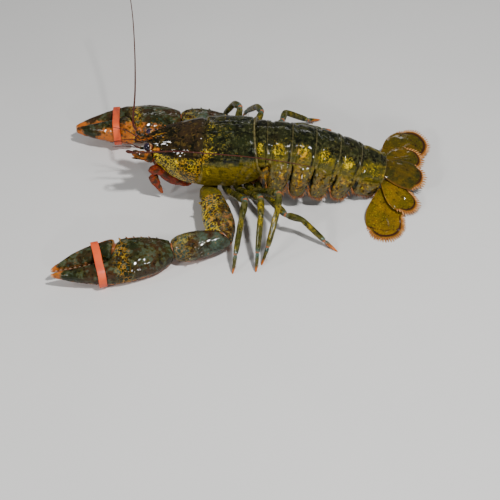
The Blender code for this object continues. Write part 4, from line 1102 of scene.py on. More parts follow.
def build_mouth():
    """The face, its palps, and the leg-like outer mouthparts with their combs of hair."""
    face = fine_copy("face", "face_shell", 3)
    relief(face, lambda points: 0.15 * bumps(points, 2.5, 4))
    place(face, mouth_shell(), "mouthparts", "face")
    for tag, side in SIDES.items():
        keys = [mirrored(key, side) for key in (
            (-56.0, 6.6, 14.2), (-60.0, 8.8, 14.6), (-67.0, 11.8, 20.2), (-74.5, 12.7, 26.8),
            (-80.6, 12.8, 31.8), (-84.6, 12.8, 33.0), (-87.0, 12.6, 28.6), (-86.0, 12.4, 20.8),
            (-83.0, 12.4, 12.8), (-80.6, 12.4, 6.4))]
        sizes = profile((0, 2.5), (0.10, 3.5), (0.17, 3.1), (0.22, 4.0), (0.40, 3.9), (0.47, 3.1),
                        (0.51, 3.5), (0.60, 3.2), (0.64, 2.7), (0.68, 3.0), (0.82, 2.6), (0.86, 1.9),
                        (0.90, 1.8), (1.0, 0.6))
        points = curve_points(keys, 34)
        frames = path_frames(points)
        rings = []
        for index, cut in enumerate(frames):
            size = sizes(index / 33)
            broad = 1 + 0.45 * float(step(np.array(index / 33), 0.12, 0.3))
            rings.append(cut.ring(oval(size * 0.7, size * broad, 14, 0.9)))
        jaw = swept("jaw_leg_" + tag, rings, 1)
        relief(jaw, lambda points: 0.12 * bumps(points, 1.8, 6))
        place(jaw, mouth_shell(), "mouthparts", "maxilliped_" + tag)
        roots = []
        for cut in frames[8:32]:
            for step_up in (-1.4, -0.5, 0.5, 1.4):
                inward = Vector((0.25, -side, -0.35))
                roots.append((cut.at(0.3 * step_up, 0, step_up) + Vector((0, -1.4 * side, 0)), inward, 2.6))
        place(bristles("jaw_comb_" + tag, roots, 0.12), bristle_hair(), "mouthparts")
        palps = []
        for x, y, z in ((-79.0, 4.2, 30.0), (-82.5, 5.6, 34.0), (-84.0, 3.0, 38.0)):
            keys = [mirrored(key, side) for key in ((x + 4, y, z), (x - 1, y + 1.2, z - 1.5),
                                                    (x - 5.5, y + 1.0, z - 5.0))]
            rings = tapered(keys, (1.7, 1.8, 1.6, 1.7, 1.4, 1.0, 0.4), 0.7, 10)
            palps.append(swept("palp", rings, 1))
        place(joined("palps_" + tag, palps), mouth_shell(), "mouthparts")


def build_underside():
    """The plate between the legs."""
    plate = fine_copy("sternum", "sternum_shell", 3)
    relief(plate, lambda points: 0.2 * bumps(points, 3.0, 8))
    place(plate, belly_shell(), "shell_belly", "sternum")


# Abdomen

flap_share = profile((0.0, 0.56), (0.05, 0.69), (0.1, 0.79), (0.2, 0.91), (0.32, 0.97), (0.5, 1.0),
                     (0.72, 0.99), (0.85, 0.93), (0.94, 0.81), (1.0, 0.64), (1.06, 0.40))
flare_share = profile((0.0, 0.20), (0.1, 0.50), (0.28, 0.90), (0.5, 1.0), (0.8, 1.0), (0.92, 0.85),
                      (1.0, 0.60), (1.06, 0.3))
back_share = profile((0.0, 0.925), (0.10, 0.945), (0.155, 0.950), (0.19, 0.958), (0.26, 0.996), (0.5, 1.006),
                     (0.85, 1.004), (1.0, 0.998), (1.08, 0.985))


def ring_outline(half, arch, depth, flare):
    """Cross-section of an abdomen ring, from the belly's middle out and over the back."""
    belly, inner = 8.0, 3.0
    right = [(0.0, -belly), (0.3 * half, -belly - 0.6), (0.62 * half, -belly),
             (half - inner, -max(3.0, 0.34 * depth)), (half - inner + 0.6, -0.62 * depth),
             (half + flare * 0.9 - 1.9, -depth + 1.2), (half + flare * 0.92 - 0.7, -depth),
             (half + flare * 1.02, -0.90 * depth), (half + flare, -0.68 * depth),
             (half + flare * 0.84, -0.48 * depth), (half + flare * 0.58, -0.30 * depth),
             (half + flare * 0.26, -0.14 * depth)]
    count = 20
    over = [(half * math.cos(math.pi * index / count), arch * math.sin(math.pi * index / count) ** 0.92)
            for index in range(count + 1)]
    return right + over + [(-side, up) for side, up in reversed(right[1:])]


def ring_frames():
    """Frames at the joints between the abdomen's rings, headed towards the head."""
    frames = []
    for index, (x, z, roll) in enumerate(zip(RING_X, RING_Z, RING_ROLL)):
        low, high = max(index - 1, 0), min(index + 1, len(RING_X) - 1)
        forward = Vector((RING_X[low] - RING_X[high], 0, RING_Z[low] - RING_Z[high]))
        if index == 0:
            forward = Vector((-1, 0, 0))
        lean = math.radians(roll)
        frames.append(Frame((x, 0, z), forward, (0, -math.sin(lean), math.cos(lean))))
    return frames


def build_abdomen():
    """Six overlapping rings with their side flaps, hair, and the paddles under them."""
    joints = ring_frames()
    for index in range(6):
        first, last = joints[index], joints[index + 1]
        length = (last.origin - first.origin).length
        depth, lobed, last_ring = FLAP_DEPTH[index], index > 0, index == 5
        inner_ring = lobed and not last_ring
        overlap = RING_OVERLAP / length if not last_ring else 0.0
        shares = [0.0, 0.05, 0.11, 0.15, 0.18, 0.21, 0.25, 0.32, 0.4, 0.5, 0.6, 0.7, 0.8, 0.88, 0.94, 0.985,
                  1.0 + overlap * 0.6, 1.0 + overlap]

        def cut(share):
            origin = first.origin.lerp(last.origin, share)
            return Frame(origin, first.forward.lerp(last.forward, share), first.up.lerp(last.up, share))

        rings = []
        for share in shares:
            half = blend(RING_HALF[index], RING_HALF[index + 1], share) * back_share(share)
            arch = blend(RING_ARCH[index], RING_ARCH[index + 1], share) * back_share(share)
            ring = cut(share).ring(ring_outline(
                half, arch, max(depth * flap_share(share), 4.5), FLAP_FLARE[index] * flare_share(share)))
            if index == 1:
                for point in ring:
                    drop = (RING_Z[1] - 5 - point.z) / 10
                    point.x -= 3.2 * min(max(drop, 0), 1) * (1 - share) * (abs(point.y) > 14)
            rings.append(ring)
        end = rings[-1]
        middle = last.origin + Vector((0, 0, 2))
        rings.append([blend(point, middle, 0.035) for point in end])
        rings.append([blend(point, middle, 0.06) + last.forward * 0.9 for point in end])
        name = "abdomen_%d" % (index + 1)
        piece = swept("tail_ring_%d" % (index + 1), rings, 2)
        centre = cut(0.5)
        flap_grid = np.linspace(0, 1.06, 40), [flap_share(share) for share in np.linspace(0, 1.06, 40)]

        def local(points):
            along, side, up = centre.local(points)
            share = 0.5 - along / length
            return share, side, up, np.degrees(np.arctan2(np.abs(side), up * 1.15))

        def ring_relief(points):
            share, side, up, _ = local(points)
            above = step(up, -3, 1)
            raised = -0.45 * gauss(share - 0.19, 0.035) * above
            raised += -0.55 * gauss(share - 0.90, 0.035) * above + 0.45 * gauss(share - 0.985, 0.02) * above
            raised += -0.55 * gauss(up + 1.0, 1.2) * step(share, 0.2, 0.4) * step(np.abs(side), 12, 15)
            outside = step(np.abs(side), 12, 16)
            flap = gauss(up + 0.48 * depth, 0.27 * depth) * outside
            raised += -2.4 * step(-share, -0.22, -0.08) * step(-up, 2, 6) * outside * inner_ring
            boss = gauss(share - 0.72, 0.14) * gauss(up + 0.36 * depth, 0.14 * depth)
            raised += 2.3 * boss * outside * lobed
            swell = gauss(share - 0.42, 0.10) * gauss(up + 0.72 * depth, 0.14 * depth)
            raised += 1.3 * swell * outside * lobed
            raised += 1.3 * gauss(share - 0.60, 0.18) * flap * lobed
            streaks = bumps(points * np.array([1.0, 1.0, 0.35]), 1.5, index + 60)
            raised += 0.22 * streaks * outside * step(-up, 1, 6)
            raised += -0.8 * gauss(share - 0.48, 0.05) * flap * lobed
            raised += 0.9 * gauss(share - 0.28, 0.09) * flap * lobed
            raised += 0.7 * gauss(share - 0.12, 0.06) * gauss(up + 0.5, 1.4)
            raised += 0.16 * bumps(points, 5.0, index + 40)
            return raised + 0.10 * bumps(points, 3.0, index) + 0.06 * bumps(points, 1.4, index + 20)

        def yellow(points):
            share, _, _, turn = local(points)
            if last_ring:
                return 0.16 + 0.25 * gauss(turn - 60, 22)
            patch = 1.3 * gauss(turn - 58, 15) * gauss(share - 0.42, 0.24)
            low = 0.25 * gauss(turn - 85, 16) * gauss(share - 0.5, 0.4)
            return np.clip(patch + low, 0, 1)

        def olive(points):
            share, _, up, turn = local(points)
            # painted shade: the clefts between the side lobes are darkened, where the previous ring's edge
            # casts shadow
            painted_cleft_shade = step(-share, -0.24, -0.15) * step(-up, 1, 5) * (index > 1)
            amber = 0.62 * last_ring * step(turn, 10, 40)
            # painted shade: the hollow just before each ring's rear rim is darkened as well
            hollow = gauss(share - 0.91, 0.05) * (not last_ring)
            low = 0.78 * step(turn, 42, 74) + 0.15 * step(turn, 85, 110)
            return np.maximum(amber, low) - 0.9 * painted_cleft_shade - 0.55 * hollow

        def lobe(points):
            _, side, up, _ = local(points)
            return 0.85 * step(-up, 0.02 * depth, 0.25 * depth) * step(np.abs(side), 12, 15) * lobed

        def edge(points):
            share, side, up, _ = local(points)
            back = 0.5 * gauss(share - 1.0, 0.02) * step(up, -4, 0)
            hinge = 0.9 * gauss(share - 0.13, 0.06) * gauss(up + 0.5, 1.6) * step(np.abs(side), 12, 15)
            # The line at share 0.27 down the flaps' front ridges is a painted highlight; the rear rim and
            # the hinge knob are pale shell.
            return back + hinge + 0.35 * gauss(share - 0.27, 0.03) * step(-up, 2, 6)

        def orange(points):
            share, side, up, _ = local(points)
            limit = depth * np.interp(share, *flap_grid)
            hem = 0.85 * gauss(-up - limit, 1.0) * step(np.abs(side), 12, 15) * lobed
            return hem * step(share, 0.12, 0.3)

        relief(piece, ring_relief)
        mark(piece, yellow=yellow, olive=olive, edge=edge, lobe=lobe, patch=1.0, orange=orange,
             fleck=lambda points: 0.55 + 0.3 * gauss(local(points)[3] - 40, 20), green=0.9)
        place(piece, back_shell(), "shell_back", name)
        if lobed:
            build_lobe_hair(index, cut)
        if inner_ring:
            build_paddles(index, cut)


def build_lobe_hair(index, cut):
    """Short hairs along the lower edges of a ring's two side lobes."""
    roots = []
    for side in SIDES.values():
        for number in range(LOBE_HAIRS):
            share = blend(0.04, 1.0, number / (LOBE_HAIRS - 1))
            drop = FLAP_DEPTH[index] * flap_share(share)
            here = cut(share)
            wide = blend(RING_HALF[index], RING_HALF[index + 1], share) + FLAP_FLARE[index] * 0.8
            outward = Vector((0.25 + 0.9 * (share - 0.5), 0.10 * side, -1.0))
            for inset, size in ((0.6, 4.8), (1.5, 3.4)):
                root = here.at(0, side * (wide - inset), -drop + 0.8)
                root.z = max(root.z, 5.5)
                roots.append((root, outward, size if number % 2 else size * 0.7))
    hair = bristles("flap_hair_%d" % (index + 1), roots, 0.32, seed=index)
    place(hair, bristle_hair(), "shell_back")


def build_paddles(index, cut):
    """A pair of two-bladed swimming paddles under a ring."""
    parts = []
    for side in SIDES.values():
        here = cut(0.45)
        for out, lean in ((0.0, 0.3), (3.6, 0.75)):
            root = here.at(0, side * 9.0, -8.0)
            tip = here.at(-7.0 + out * 0.3, side * (8.0 + out * 1.4), -8.0 - 0.36 * FLAP_DEPTH[index])
            middle = root.lerp(tip, 0.5) + Vector((-1.0, 0.6 * side * lean, 0))
            rings = []
            for cross, size in zip(path_frames(curve_points([root, middle, tip], 9), (0, side, 0.2)),
                                   (0.9, 1.0, 1.6, 2.4, 2.9, 2.9, 2.5, 1.7, 0.6)):
                rings.append(cross.ring(oval(size, 0.45, 12)))
            parts.append(swept("paddle", rings, 1))
    place(joined("paddles_%d" % (index + 1), parts), belly_shell(), "shell_back")


# Tail fan

def fan_frames():
    """Frame of each tail plate at its root, headed to its rim."""
    joint = ring_frames()[-1]
    pitch, lean = math.radians(FAN_PITCH), math.radians(FAN_ROLL)
    up = Vector((math.sin(pitch), -math.sin(lean), math.cos(pitch) * math.cos(lean)))
    base = Frame(joint.origin, Vector((math.cos(pitch), 0, -math.sin(pitch))), up)
    frames = {}
    for name, (side, out, lift, splay, droop, _, root, *_, gap) in FAN_PLATES.items():
        turn, sink = math.radians(splay) * side, math.radians(droop)
        level = base.forward * math.cos(turn) + base.side * -math.sin(turn)
        forward = level * math.cos(sink) - base.up * math.sin(sink)
        back = gap + (root + 0.15) * abs(math.sin(turn))
        frames[name] = Frame(joint.at(-back, side * out, lift), forward, base.up)
    return frames


def fan_outline(length, root, width, count=44):
    """Smooth rim of a tail plate as (along, side) pairs."""
    straight = 0.52 * length
    side = []
    for index in range(10):
        share = index / 10
        side.append((straight * share, blend(root, width, math.sin(share * math.pi / 2) ** 1.1)))
    points = [(along, -wide) for along, wide in side]
    for index in range(count + 1):
        angle = math.pi * index / count
        points.append((straight + (length - straight) * math.sin(angle) ** 0.8,
                       -width * signed_power(math.cos(angle), 0.85)))
    return points + [(along, wide) for along, wide in reversed(side)]


def build_fringe(name, cut, centre, outline, fringed):
    """Fine hairs and the longer teeth of the comb, along a plate's rim."""
    sizes = bpy.context.scene.lobster_sizes
    width, _, camber = FAN_PLATES[name][7:10]
    roots, tufts = [], []
    rim, count = [Vector((along, s, 0)) for along, s in outline], 0
    for first, second in zip(rim[6:-6], rim[7:-5]):
        steps = max(1, round((second - first).length / sizes.fringe_gap * MM))
        for number in range(steps):
            spot = first.lerp(second, number / steps)
            away = (spot - Vector((centre * 0.7, 0, 0))).normalized()
            sag = camber * (spot.y / width) ** 2
            point = cut.at(spot.x - away.x * 0.5, spot.y - away.y * 0.5, -sag)
            point.z = max(point.z, 0.55)
            share = float(fringed(spot.x, spot.y))
            size = sizes.fringe_length / MM * (0.3 + 0.7 * share)
            direction = cut.forward * away.x + cut.side * away.y
            direction.z = max(direction.z, -0.12 * point.z / 3.0)
            count += 1
            if share > 0.15:
                tooth = count % COMB_EVERY == 0
                (tufts if tooth else roots).append((point, direction, size if tooth else size * 0.28))
    place(bristles(name + "_hairs", roots, 0.2, 0.04, seed=len(name)), bristle_hair(), "shell_tail")
    comb = bristles(name + "_comb", tufts, 0.90, 0.04, seed=len(name) + 1, sway=0.05)
    place(comb, comb_hair(), "shell_tail")


def build_tail_fan():
    """Five plates with ribs, a dark band, a rim and a fringe of hair."""
    for name, cut in fan_frames().items():
        side = FAN_PLATES[name][0]
        length, root, width, thick, camber = FAN_PLATES[name][5:10]
        telson = name == "telson"
        centre = length * 0.48

        def fringed(along, s):
            """1 along the stretch of the rim that bears the fringe."""
            inner = step(np.array(side * s / width), -0.2, 0.4)
            start = 0.66 if telson else blend(0.60, 0.34, inner)
            return step(np.array(along / length), start, start + 0.2)

        outline = []
        for along, s in fan_outline(length, root, width):
            keep = 1 - FRINGE_ROOM * float(fringed(along, s)) / math.hypot(along - centre, s)
            outline.append((centre + (along - centre) * keep, s * keep))
        hub = cut.at(centre, 0, 0)

        def rim_share(points):
            east, north = points[:, 0] - hub.x, points[:, 1] - hub.y
            limit = np.interp(np.arctan2(north, east), angles[order], reach[order], period=math.tau)
            return np.hypot(east, north) / limit

        def layer(scale, height):
            points = []
            for along, s in outline:
                a, s = centre + (along - centre) * scale, s * scale
                point = cut.at(a, s, height - camber * (s / width) ** 2)
                point.z = max(point.z, 0.3 + height if height > 0 else 0.0)
                points.append(point)
            return points

        plan = np.array([(point.x - hub.x, point.y - hub.y) for point in layer(1.0, 0.0)])
        reach, angles = np.hypot(plan[:, 0], plan[:, 1]), np.arctan2(plan[:, 1], plan[:, 0])
        order = np.argsort(angles)
        rings = [layer(scale, thick * height) for scale, height in (
            (0.08, 0.50), (0.25, 0.50), (0.45, 0.48), (0.62, 0.44), (0.76, 0.38), (0.86, 0.31),
            (0.92, 0.25))]
        rings += [layer(0.97, 0.34), layer(1.0, 0.16), layer(1.0, -0.16), layer(0.97, -0.28)]
        rings += [layer(scale, -thick * height)
                  for scale, height in ((0.88, 0.28), (0.6, 0.36), (0.1, 0.40))]
        plate = swept(name + "_plate", rings, 1)
        outer = "outer" in name

        def ribs(points):
            along, s = cut.local(points)[:2]
            share = along / length
            spread = 0.26 if telson else 0.10
            off = s if outer else np.abs(s) - width * spread * (0.4 + share)
            return gauss(off, width * 0.05) * step(-share, -0.80, -0.6)

        def suture(points):
            along, s = cut.local(points)[:2]
            arc = along / length - 0.72 + 0.10 * (s / width) ** 2
            return gauss(arc, 0.012) if outer else np.zeros(len(points))

        def plate_relief(points):
            share = rim_share(points)
            upper = step(cut.local(points)[2], -0.6, 0.3)
            raised = 0.35 * ribs(points) * upper - 0.4 * suture(points) * upper
            raised += 0.12 * gauss(share - 0.97, 0.02) - 0.12 * gauss(share - 0.90, 0.02)
            return (raised + 0.07 * bumps(points, 2.4, 31)) * step(-share, -1.02, -0.99)

        relief(plate, plate_relief)

        def rim_mark(points):
            along, s = cut.local(points)[:2]
            return step(rim_share(points), 0.925, 0.96) * (0.25 + 0.75 * fringed(along, s))

        def band_mark(points):
            along, s = cut.local(points)[:2]
            return gauss(rim_share(points) - 0.875, 0.045) * fringed(along, s) + 0.6 * suture(points)

        # the telson and the right-hand plates get painted shade, strongest on the telson
        mark(plate, rim=rim_mark, band=band_mark,
             dim=0.85 if telson else 0.6 if name.endswith("_r") else 0.0,
             rib=lambda points: 0.4 * ribs(points) + 0.7 * step(-cut.local(points)[0], -4.0, -1.0))
        place(plate, tail_shell(), "shell_tail", name)
        build_fringe(name, cut, centre, outline, fringed)


# Limbs

def meeting_place(first, second):
    """Middle of the place where two touching nodes meet, and its radius."""
    clouds = []
    for node in (first, second):
        data = frame["nodes"][node].data
        cloud = np.empty(len(data.vertices) * 3, np.float32)
        data.vertices.foreach_get("co", cloud)
        clouds.append((cloud.reshape(-1, 3) - np.array(ORIGIN)) / MM)
    gaps = np.linalg.norm(clouds[0][:, None] - clouds[1][None], axis=2)
    close = clouds[0][gaps.min(axis=1) < 0.75]
    middle = close.mean(axis=0)
    return Vector(middle), float(np.linalg.norm(close - middle, axis=1).max())


def build_legs():
    """Eight walking legs, with soft joints and rows of short bristles."""
    for number in (2, 3, 4, 5):
        for tag, side in SIDES.items():
            leg = "leg%d_%s" % (number, tag)
            nodes = [leg + part for part in ("_thigh", "_shank", "_toe")]
            joints = [meeting_place(nodes[0], nodes[1]), meeting_place(nodes[1], nodes[2])]
            foot_low, foot_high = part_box(nodes[2])
            foot = ((foot_low + foot_high) / 2 - ORIGIN) / MM
            toe_tip = Vector((foot.x, foot.y, 0.0))
            bends = [joint for joint, _ in joints]
            toe_end, shank_end = lambda points: step(-points[:, 2], -9, -1), near_places([bends[1]], 2.5)
            for node, part in zip(nodes, ("thigh", "shank", "toe")):
                piece = fine_copy(node, "%s_%s_shell" % (leg, part), 3)
                relief(piece, lambda points: 0.2 * step(points[:, 2], 0.5, 2.0)
                       + 0.09 * bumps(points, 1.6, number))
                mark(piece, joint=near_places(bends, 4.2), tip=toe_end if part == "toe" else shank_end)
                place(piece, leg_shell(), "shell_leg", node)
            soft = [knob(middle, radius * 0.80) for middle, radius in joints]
            place(joined(leg + "_joints", soft), joint_skin(), "shell_leg")
            roots = []
            axis = toe_tip - bends[1]
            rng = random.Random(number * 10 + side)
            for row in range(BRISTLE_ROWS):
                aside = axis.cross(Vector((0, 0, 1))).normalized()
                lift = aside.cross(axis).normalized()
                angle = math.tau * row / BRISTLE_ROWS + 0.6
                out = aside * math.cos(angle) + lift * math.sin(angle)
                for count in range(ROW_BRISTLES):
                    share = blend(0.12, 0.85, count / (ROW_BRISTLES - 1)) + rng.uniform(-0.02, 0.02)
                    root = bends[1] + axis * share + out * 1.0 * (1 - 0.5 * share)
                    roots.append((root, out + axis.normalized() * 0.9, 1.7))
            place(bristles(leg + "_bristles", roots, 0.09, 0.0, seed=number), dark_hair(), "shell_leg")


claw_outer = profile((0.0, 0.082), (0.07, 0.125), (0.2, 0.180), (0.4, 0.200), (0.6, 0.172), (0.8, 0.110),
                     (0.93, 0.050), (1.0, 0.016))
claw_inner = profile((0.0, 0.082), (0.1, 0.130), (0.25, 0.172), (0.42, 0.192), (0.6, 0.186), (0.8, 0.136),
                     (0.93, 0.074), (1.0, 0.036))
claw_depth = profile((0.0, 0.068), (0.1, 0.094), (0.25, 0.114), (0.42, 0.112), (0.6, 0.088), (0.8, 0.060),
                     (0.93, 0.034), (1.0, 0.012))


def claw_frame(tag, side, wrist):
    """A claw's frame at the wrist, the side that faces the midline, and its sizes."""
    turn = math.radians(ARMS[tag]["turn"])
    forward = Vector((-math.cos(turn), side * math.sin(turn), CLAW_LIFT))
    lean = math.radians(CLAW_ROLL)
    flat = Frame(wrist, forward)
    inward = -side
    up = flat.up * math.cos(lean) - flat.side * inward * math.sin(lean)
    return Frame(wrist, forward, up), inward, CLAWS[tag]


def claw_ring(cut, inward, claw, share, near, far, sides, depth=1.0, slant=None):
    """A ring of the claw between two side shares, square to it or slanted."""
    length, wide = claw["length"], claw["width"]
    middle, half = (near + far) / 2 * length * wide, (far - near) / 2 * length * wide
    height = claw_depth(share) * length * claw["depth"] * depth
    points = []
    for side, up in oval(half, height, sides, 0.86):
        along = share * length
        if slant is not None:
            across = (middle + side) / (length * wide)
            along += (far - across) / max(far - near, 0.001) * slant * length
        point = cut.at(along, inward * (middle + side), up)
        point.z = max(point.z, 0.0)
        points.append(point)
    return points


def wrist_place(tag, side):
    """The wrist, at the height that rests the claw's belly on the floor, found from a high trial."""
    x, y = ARMS[tag]["wrist"]
    trial = 100.0
    cut, inward, claw = claw_frame(tag, side, Vector((x, y * side, trial)))
    lowest = trial
    for share in (0.22, 0.32, 0.4):
        ring = claw_ring(cut, inward, claw, share, -claw_outer(share), claw_inner(share), 14)
        lowest = min(lowest, min(point.z for point in ring))
    return Vector((x, y * side, trial - lowest - CLAW_PRESS))


def limb_skin(name, stops, first, last, widen):
    """A limb piece through (point, half width, half height) stops, with square ends."""
    frames = path_frames([point for point, _, _ in stops])
    frames[0] = Frame(stops[0][0], first)
    frames[-1] = Frame(stops[-1][0], last)
    rings = []
    for index, (cut, (_, half, height)) in enumerate(zip(frames, stops)):
        along = 0.2 if index == 0 else -0.2 if index == len(stops) - 1 else 0.0
        ring = cut.ring(oval(half * widen, height, 20, 0.92), along)
        for point in ring:
            point.z = max(point.z, 0.0)
        rings.append(ring)
        if index == 0:
            rings.insert(0, [blend(point, cut.origin, 0.12) for point in ring])
    rings.append([blend(point, frames[-1].origin, 0.12) for point in rings[-1]])
    return swept(name, rings, 2)


def build_claw_arm(tag, side):
    """Upper arm and wrist with their spines; gives back the claw's frame, inner side and sizes."""
    arm = ARMS[tag]
    knee, elbow = mirrored(arm["knee"], side), mirrored(arm["elbow"], side)
    wrist = wrist_place(tag, side)
    root = mirrored(HIP, side)
    hip = Vector((HIP[0] - 2.4, side * HIP_END, HIP[2]))
    bend = (elbow - knee).normalized() + (wrist - elbow).normalized()
    cut, inward, claw = claw_frame(tag, side, wrist)
    widen = 1 + 0.1 * (claw["depth"] - 1)
    upper = ((root, 5.2, 4.2), (root.lerp(hip, 0.6), 6.6, 4.4), (hip, 7.9, 4.8),
             (hip.lerp(knee, 0.5), 9.1, 6.1), (knee.lerp(hip, 0.12), 9.7, 6.6), (knee, 9.0, 6.1),
             (knee.lerp(elbow, 0.05), 9.6, 6.8), (knee.lerp(elbow, 0.15), 10.7, 7.7),
             (knee.lerp(elbow, 0.36), 12.1, 8.9), (knee.lerp(elbow, 0.56), 12.9, 10.0),
             (knee.lerp(elbow, 0.70), 12.7, 10.1), (knee.lerp(elbow, 0.88), 11.0, 9.2), (elbow, 8.0, 7.6))
    lower = ((elbow, 7.4, 7.2), (elbow.lerp(wrist, 0.12), 9.0, 8.4), (elbow.lerp(wrist, 0.34), 10.6, 9.7),
             (elbow.lerp(wrist, 0.54), 12.5, 10.9), (elbow.lerp(wrist, 0.78), 12.3, 10.7),
             (elbow.lerp(wrist, 0.9), 10.8, 9.5), (wrist, 8.0, 6.8))
    tips = []
    parts = [limb_skin("upper", upper, Vector((0, side, 0)), bend, widen)]
    for share, out in ((0.22, 10.8), (0.86, 11.2)):
        foot = knee.lerp(elbow, share) + Vector((2.0 - out, 0, 2.5))
        spike(parts, tips, foot, foot + Vector((-4.6, 0, 1.6)), 2.0, 14)
    foot = knee.lerp(elbow, 0.88) + Vector((1.5, 0, 6.5))
    spike(parts, tips, foot, foot + Vector((0, 2.5 * side, 4.4)), 2.0, 14)
    upper_shell = welded("arm_upper_shell_" + tag, parts, 0.45)
    reach = (elbow - knee).normalized()
    mark(upper_shell, plain=lambda points: 0.92 * step(-(points - np.array(knee)) @ np.array(reach),
                                                       -4.0, -1.5))
    finish_limb(upper_shell, "arm_upper_" + tag, tips, 0.68)
    parts = [limb_skin("lower", lower, bend, cut.forward, widen)]
    along = (wrist - elbow).normalized()
    across = along.cross(Vector((0, 0, 1))).normalized() * side
    tips = []
    for share, sideways, lift in WRIST_SPINES:
        foot = elbow.lerp(wrist, share) + across * sideways + Vector((0, 0, lift - 1.0))
        out = (across * sideways + Vector((0, 0, lift))).normalized()
        spike(parts, tips, foot, foot + out * 3.9 + along * 1.8, 1.8, 14)
    finish_limb(welded("arm_wrist_shell_" + tag, parts, 0.45), "arm_wrist_" + tag, tips, 0.42)
    soft = [knob(knee.lerp(elbow, 0.97), 6.9), knob(wrist + cut.forward * -0.3, 6.2), knob(knee, 4.6)]
    place(joined("arm_joints_" + tag, soft), joint_skin(), "shell_claw")
    return cut, inward, claw


def finish_limb(piece, node, tips, yellow):
    """Relief, marks and finish of an arm piece; the yellow share sets how mottled it is."""
    relief(piece, lambda points: 0.16 * bumps(points, 3.6, 12) + 0.07 * bumps(points, 1.6, 14))
    low, high = points_of(piece)[0].min(axis=0)[2], points_of(piece)[0].max(axis=0)[2]
    near, far = np.percentile(points_of(piece)[0][:, 0], (20, 80))
    mark(piece, warm=lambda points: step(-points[:, 2], -blend(low, high, 0.35), -low)
         + 0.3 * step(points[:, 0], near, far) * (yellow > 0.5),
         grey=0.9 - yellow,
         yellow=lambda points: yellow * (1.1 - 0.5 * step(points[:, 0], near, far)),
         orange=lambda points: 0.42 * near_places(tips, 2.4)(points))
    place(piece, claw_shell(), "shell_claw", node)


def add_teeth(tag, cut, inward, claw, palm, finger):
    """Adds the teeth of both fingers and the palm's spines, and gives back the teeth's tips."""
    length, wide = claw["length"], claw["width"]
    palm_tips, finger_tips = [], []
    rng = random.Random(7 if tag == "l" else 11)
    for index in range(claw["teeth"]):
        share = blend(0.54, 0.94, index / (claw["teeth"] - 1))
        big = rng.uniform(0.75, 1.2) * (1.0 - 0.5 * (share - 0.5))
        on_finger = index % 2 == 1
        teeth, tips = (finger, finger_tips) if on_finger else (palm, palm_tips)
        outward = inward if on_finger else -inward
        edge = ((MOVING_EDGE if on_finger else FIXED_EDGE) + EDGE_DRIFT * (share - 0.5)) * inward
        edge *= length * wide
        if claw["crusher"]:
            centre = cut.at(share * length, edge + 0.8 * outward, rng.uniform(-0.6, 0.6))
            teeth.append(knob(centre, 1.9 * big, 0.9))
            tips.append(centre)
        else:
            base = cut.at(share * length, edge + 1.3 * outward, rng.uniform(-0.3, 0.3))
            spike(teeth, tips, base, base - cut.side * 2.3 * big * outward, 1.05 * big)
    for index in range(PALM_SPINES):
        share = blend(0.08, 0.38, index / (PALM_SPINES - 1))
        edge = claw_inner(share) * length * wide
        base = cut.at(share * length, inward * (edge - 2.2), 1.5)
        tip = cut.at(share * length + 2.2, inward * (edge + 2.5), 2.6)
        palm.append(thorn(base, tip, 1.8, 14))
    return palm_tips, finger_tips


def build_claw_comb(tag, cut, inward, claw):
    """Fine hairs along the edges of both fingers."""
    length, wide = claw["length"], claw["width"]
    roots = []
    for index in range(COMB_STEPS):
        share = blend(0.53, 0.92, index / (COMB_STEPS - 1))
        for edge_share, outward in ((FIXED_EDGE, -inward), (MOVING_EDGE, inward)):
            edge = (edge_share + EDGE_DRIFT * (share - 0.5)) * inward * length * wide
            for height in (-1.8, 1.8):
                root = cut.at(share * length, edge + 0.9 * outward, height)
                roots.append((root, cut.side * -outward + cut.up * 0.25 * height, 1.7))
    place(bristles("claw_comb_" + tag, roots, 0.10, 0.0), bristle_hair(), "shell_claw")


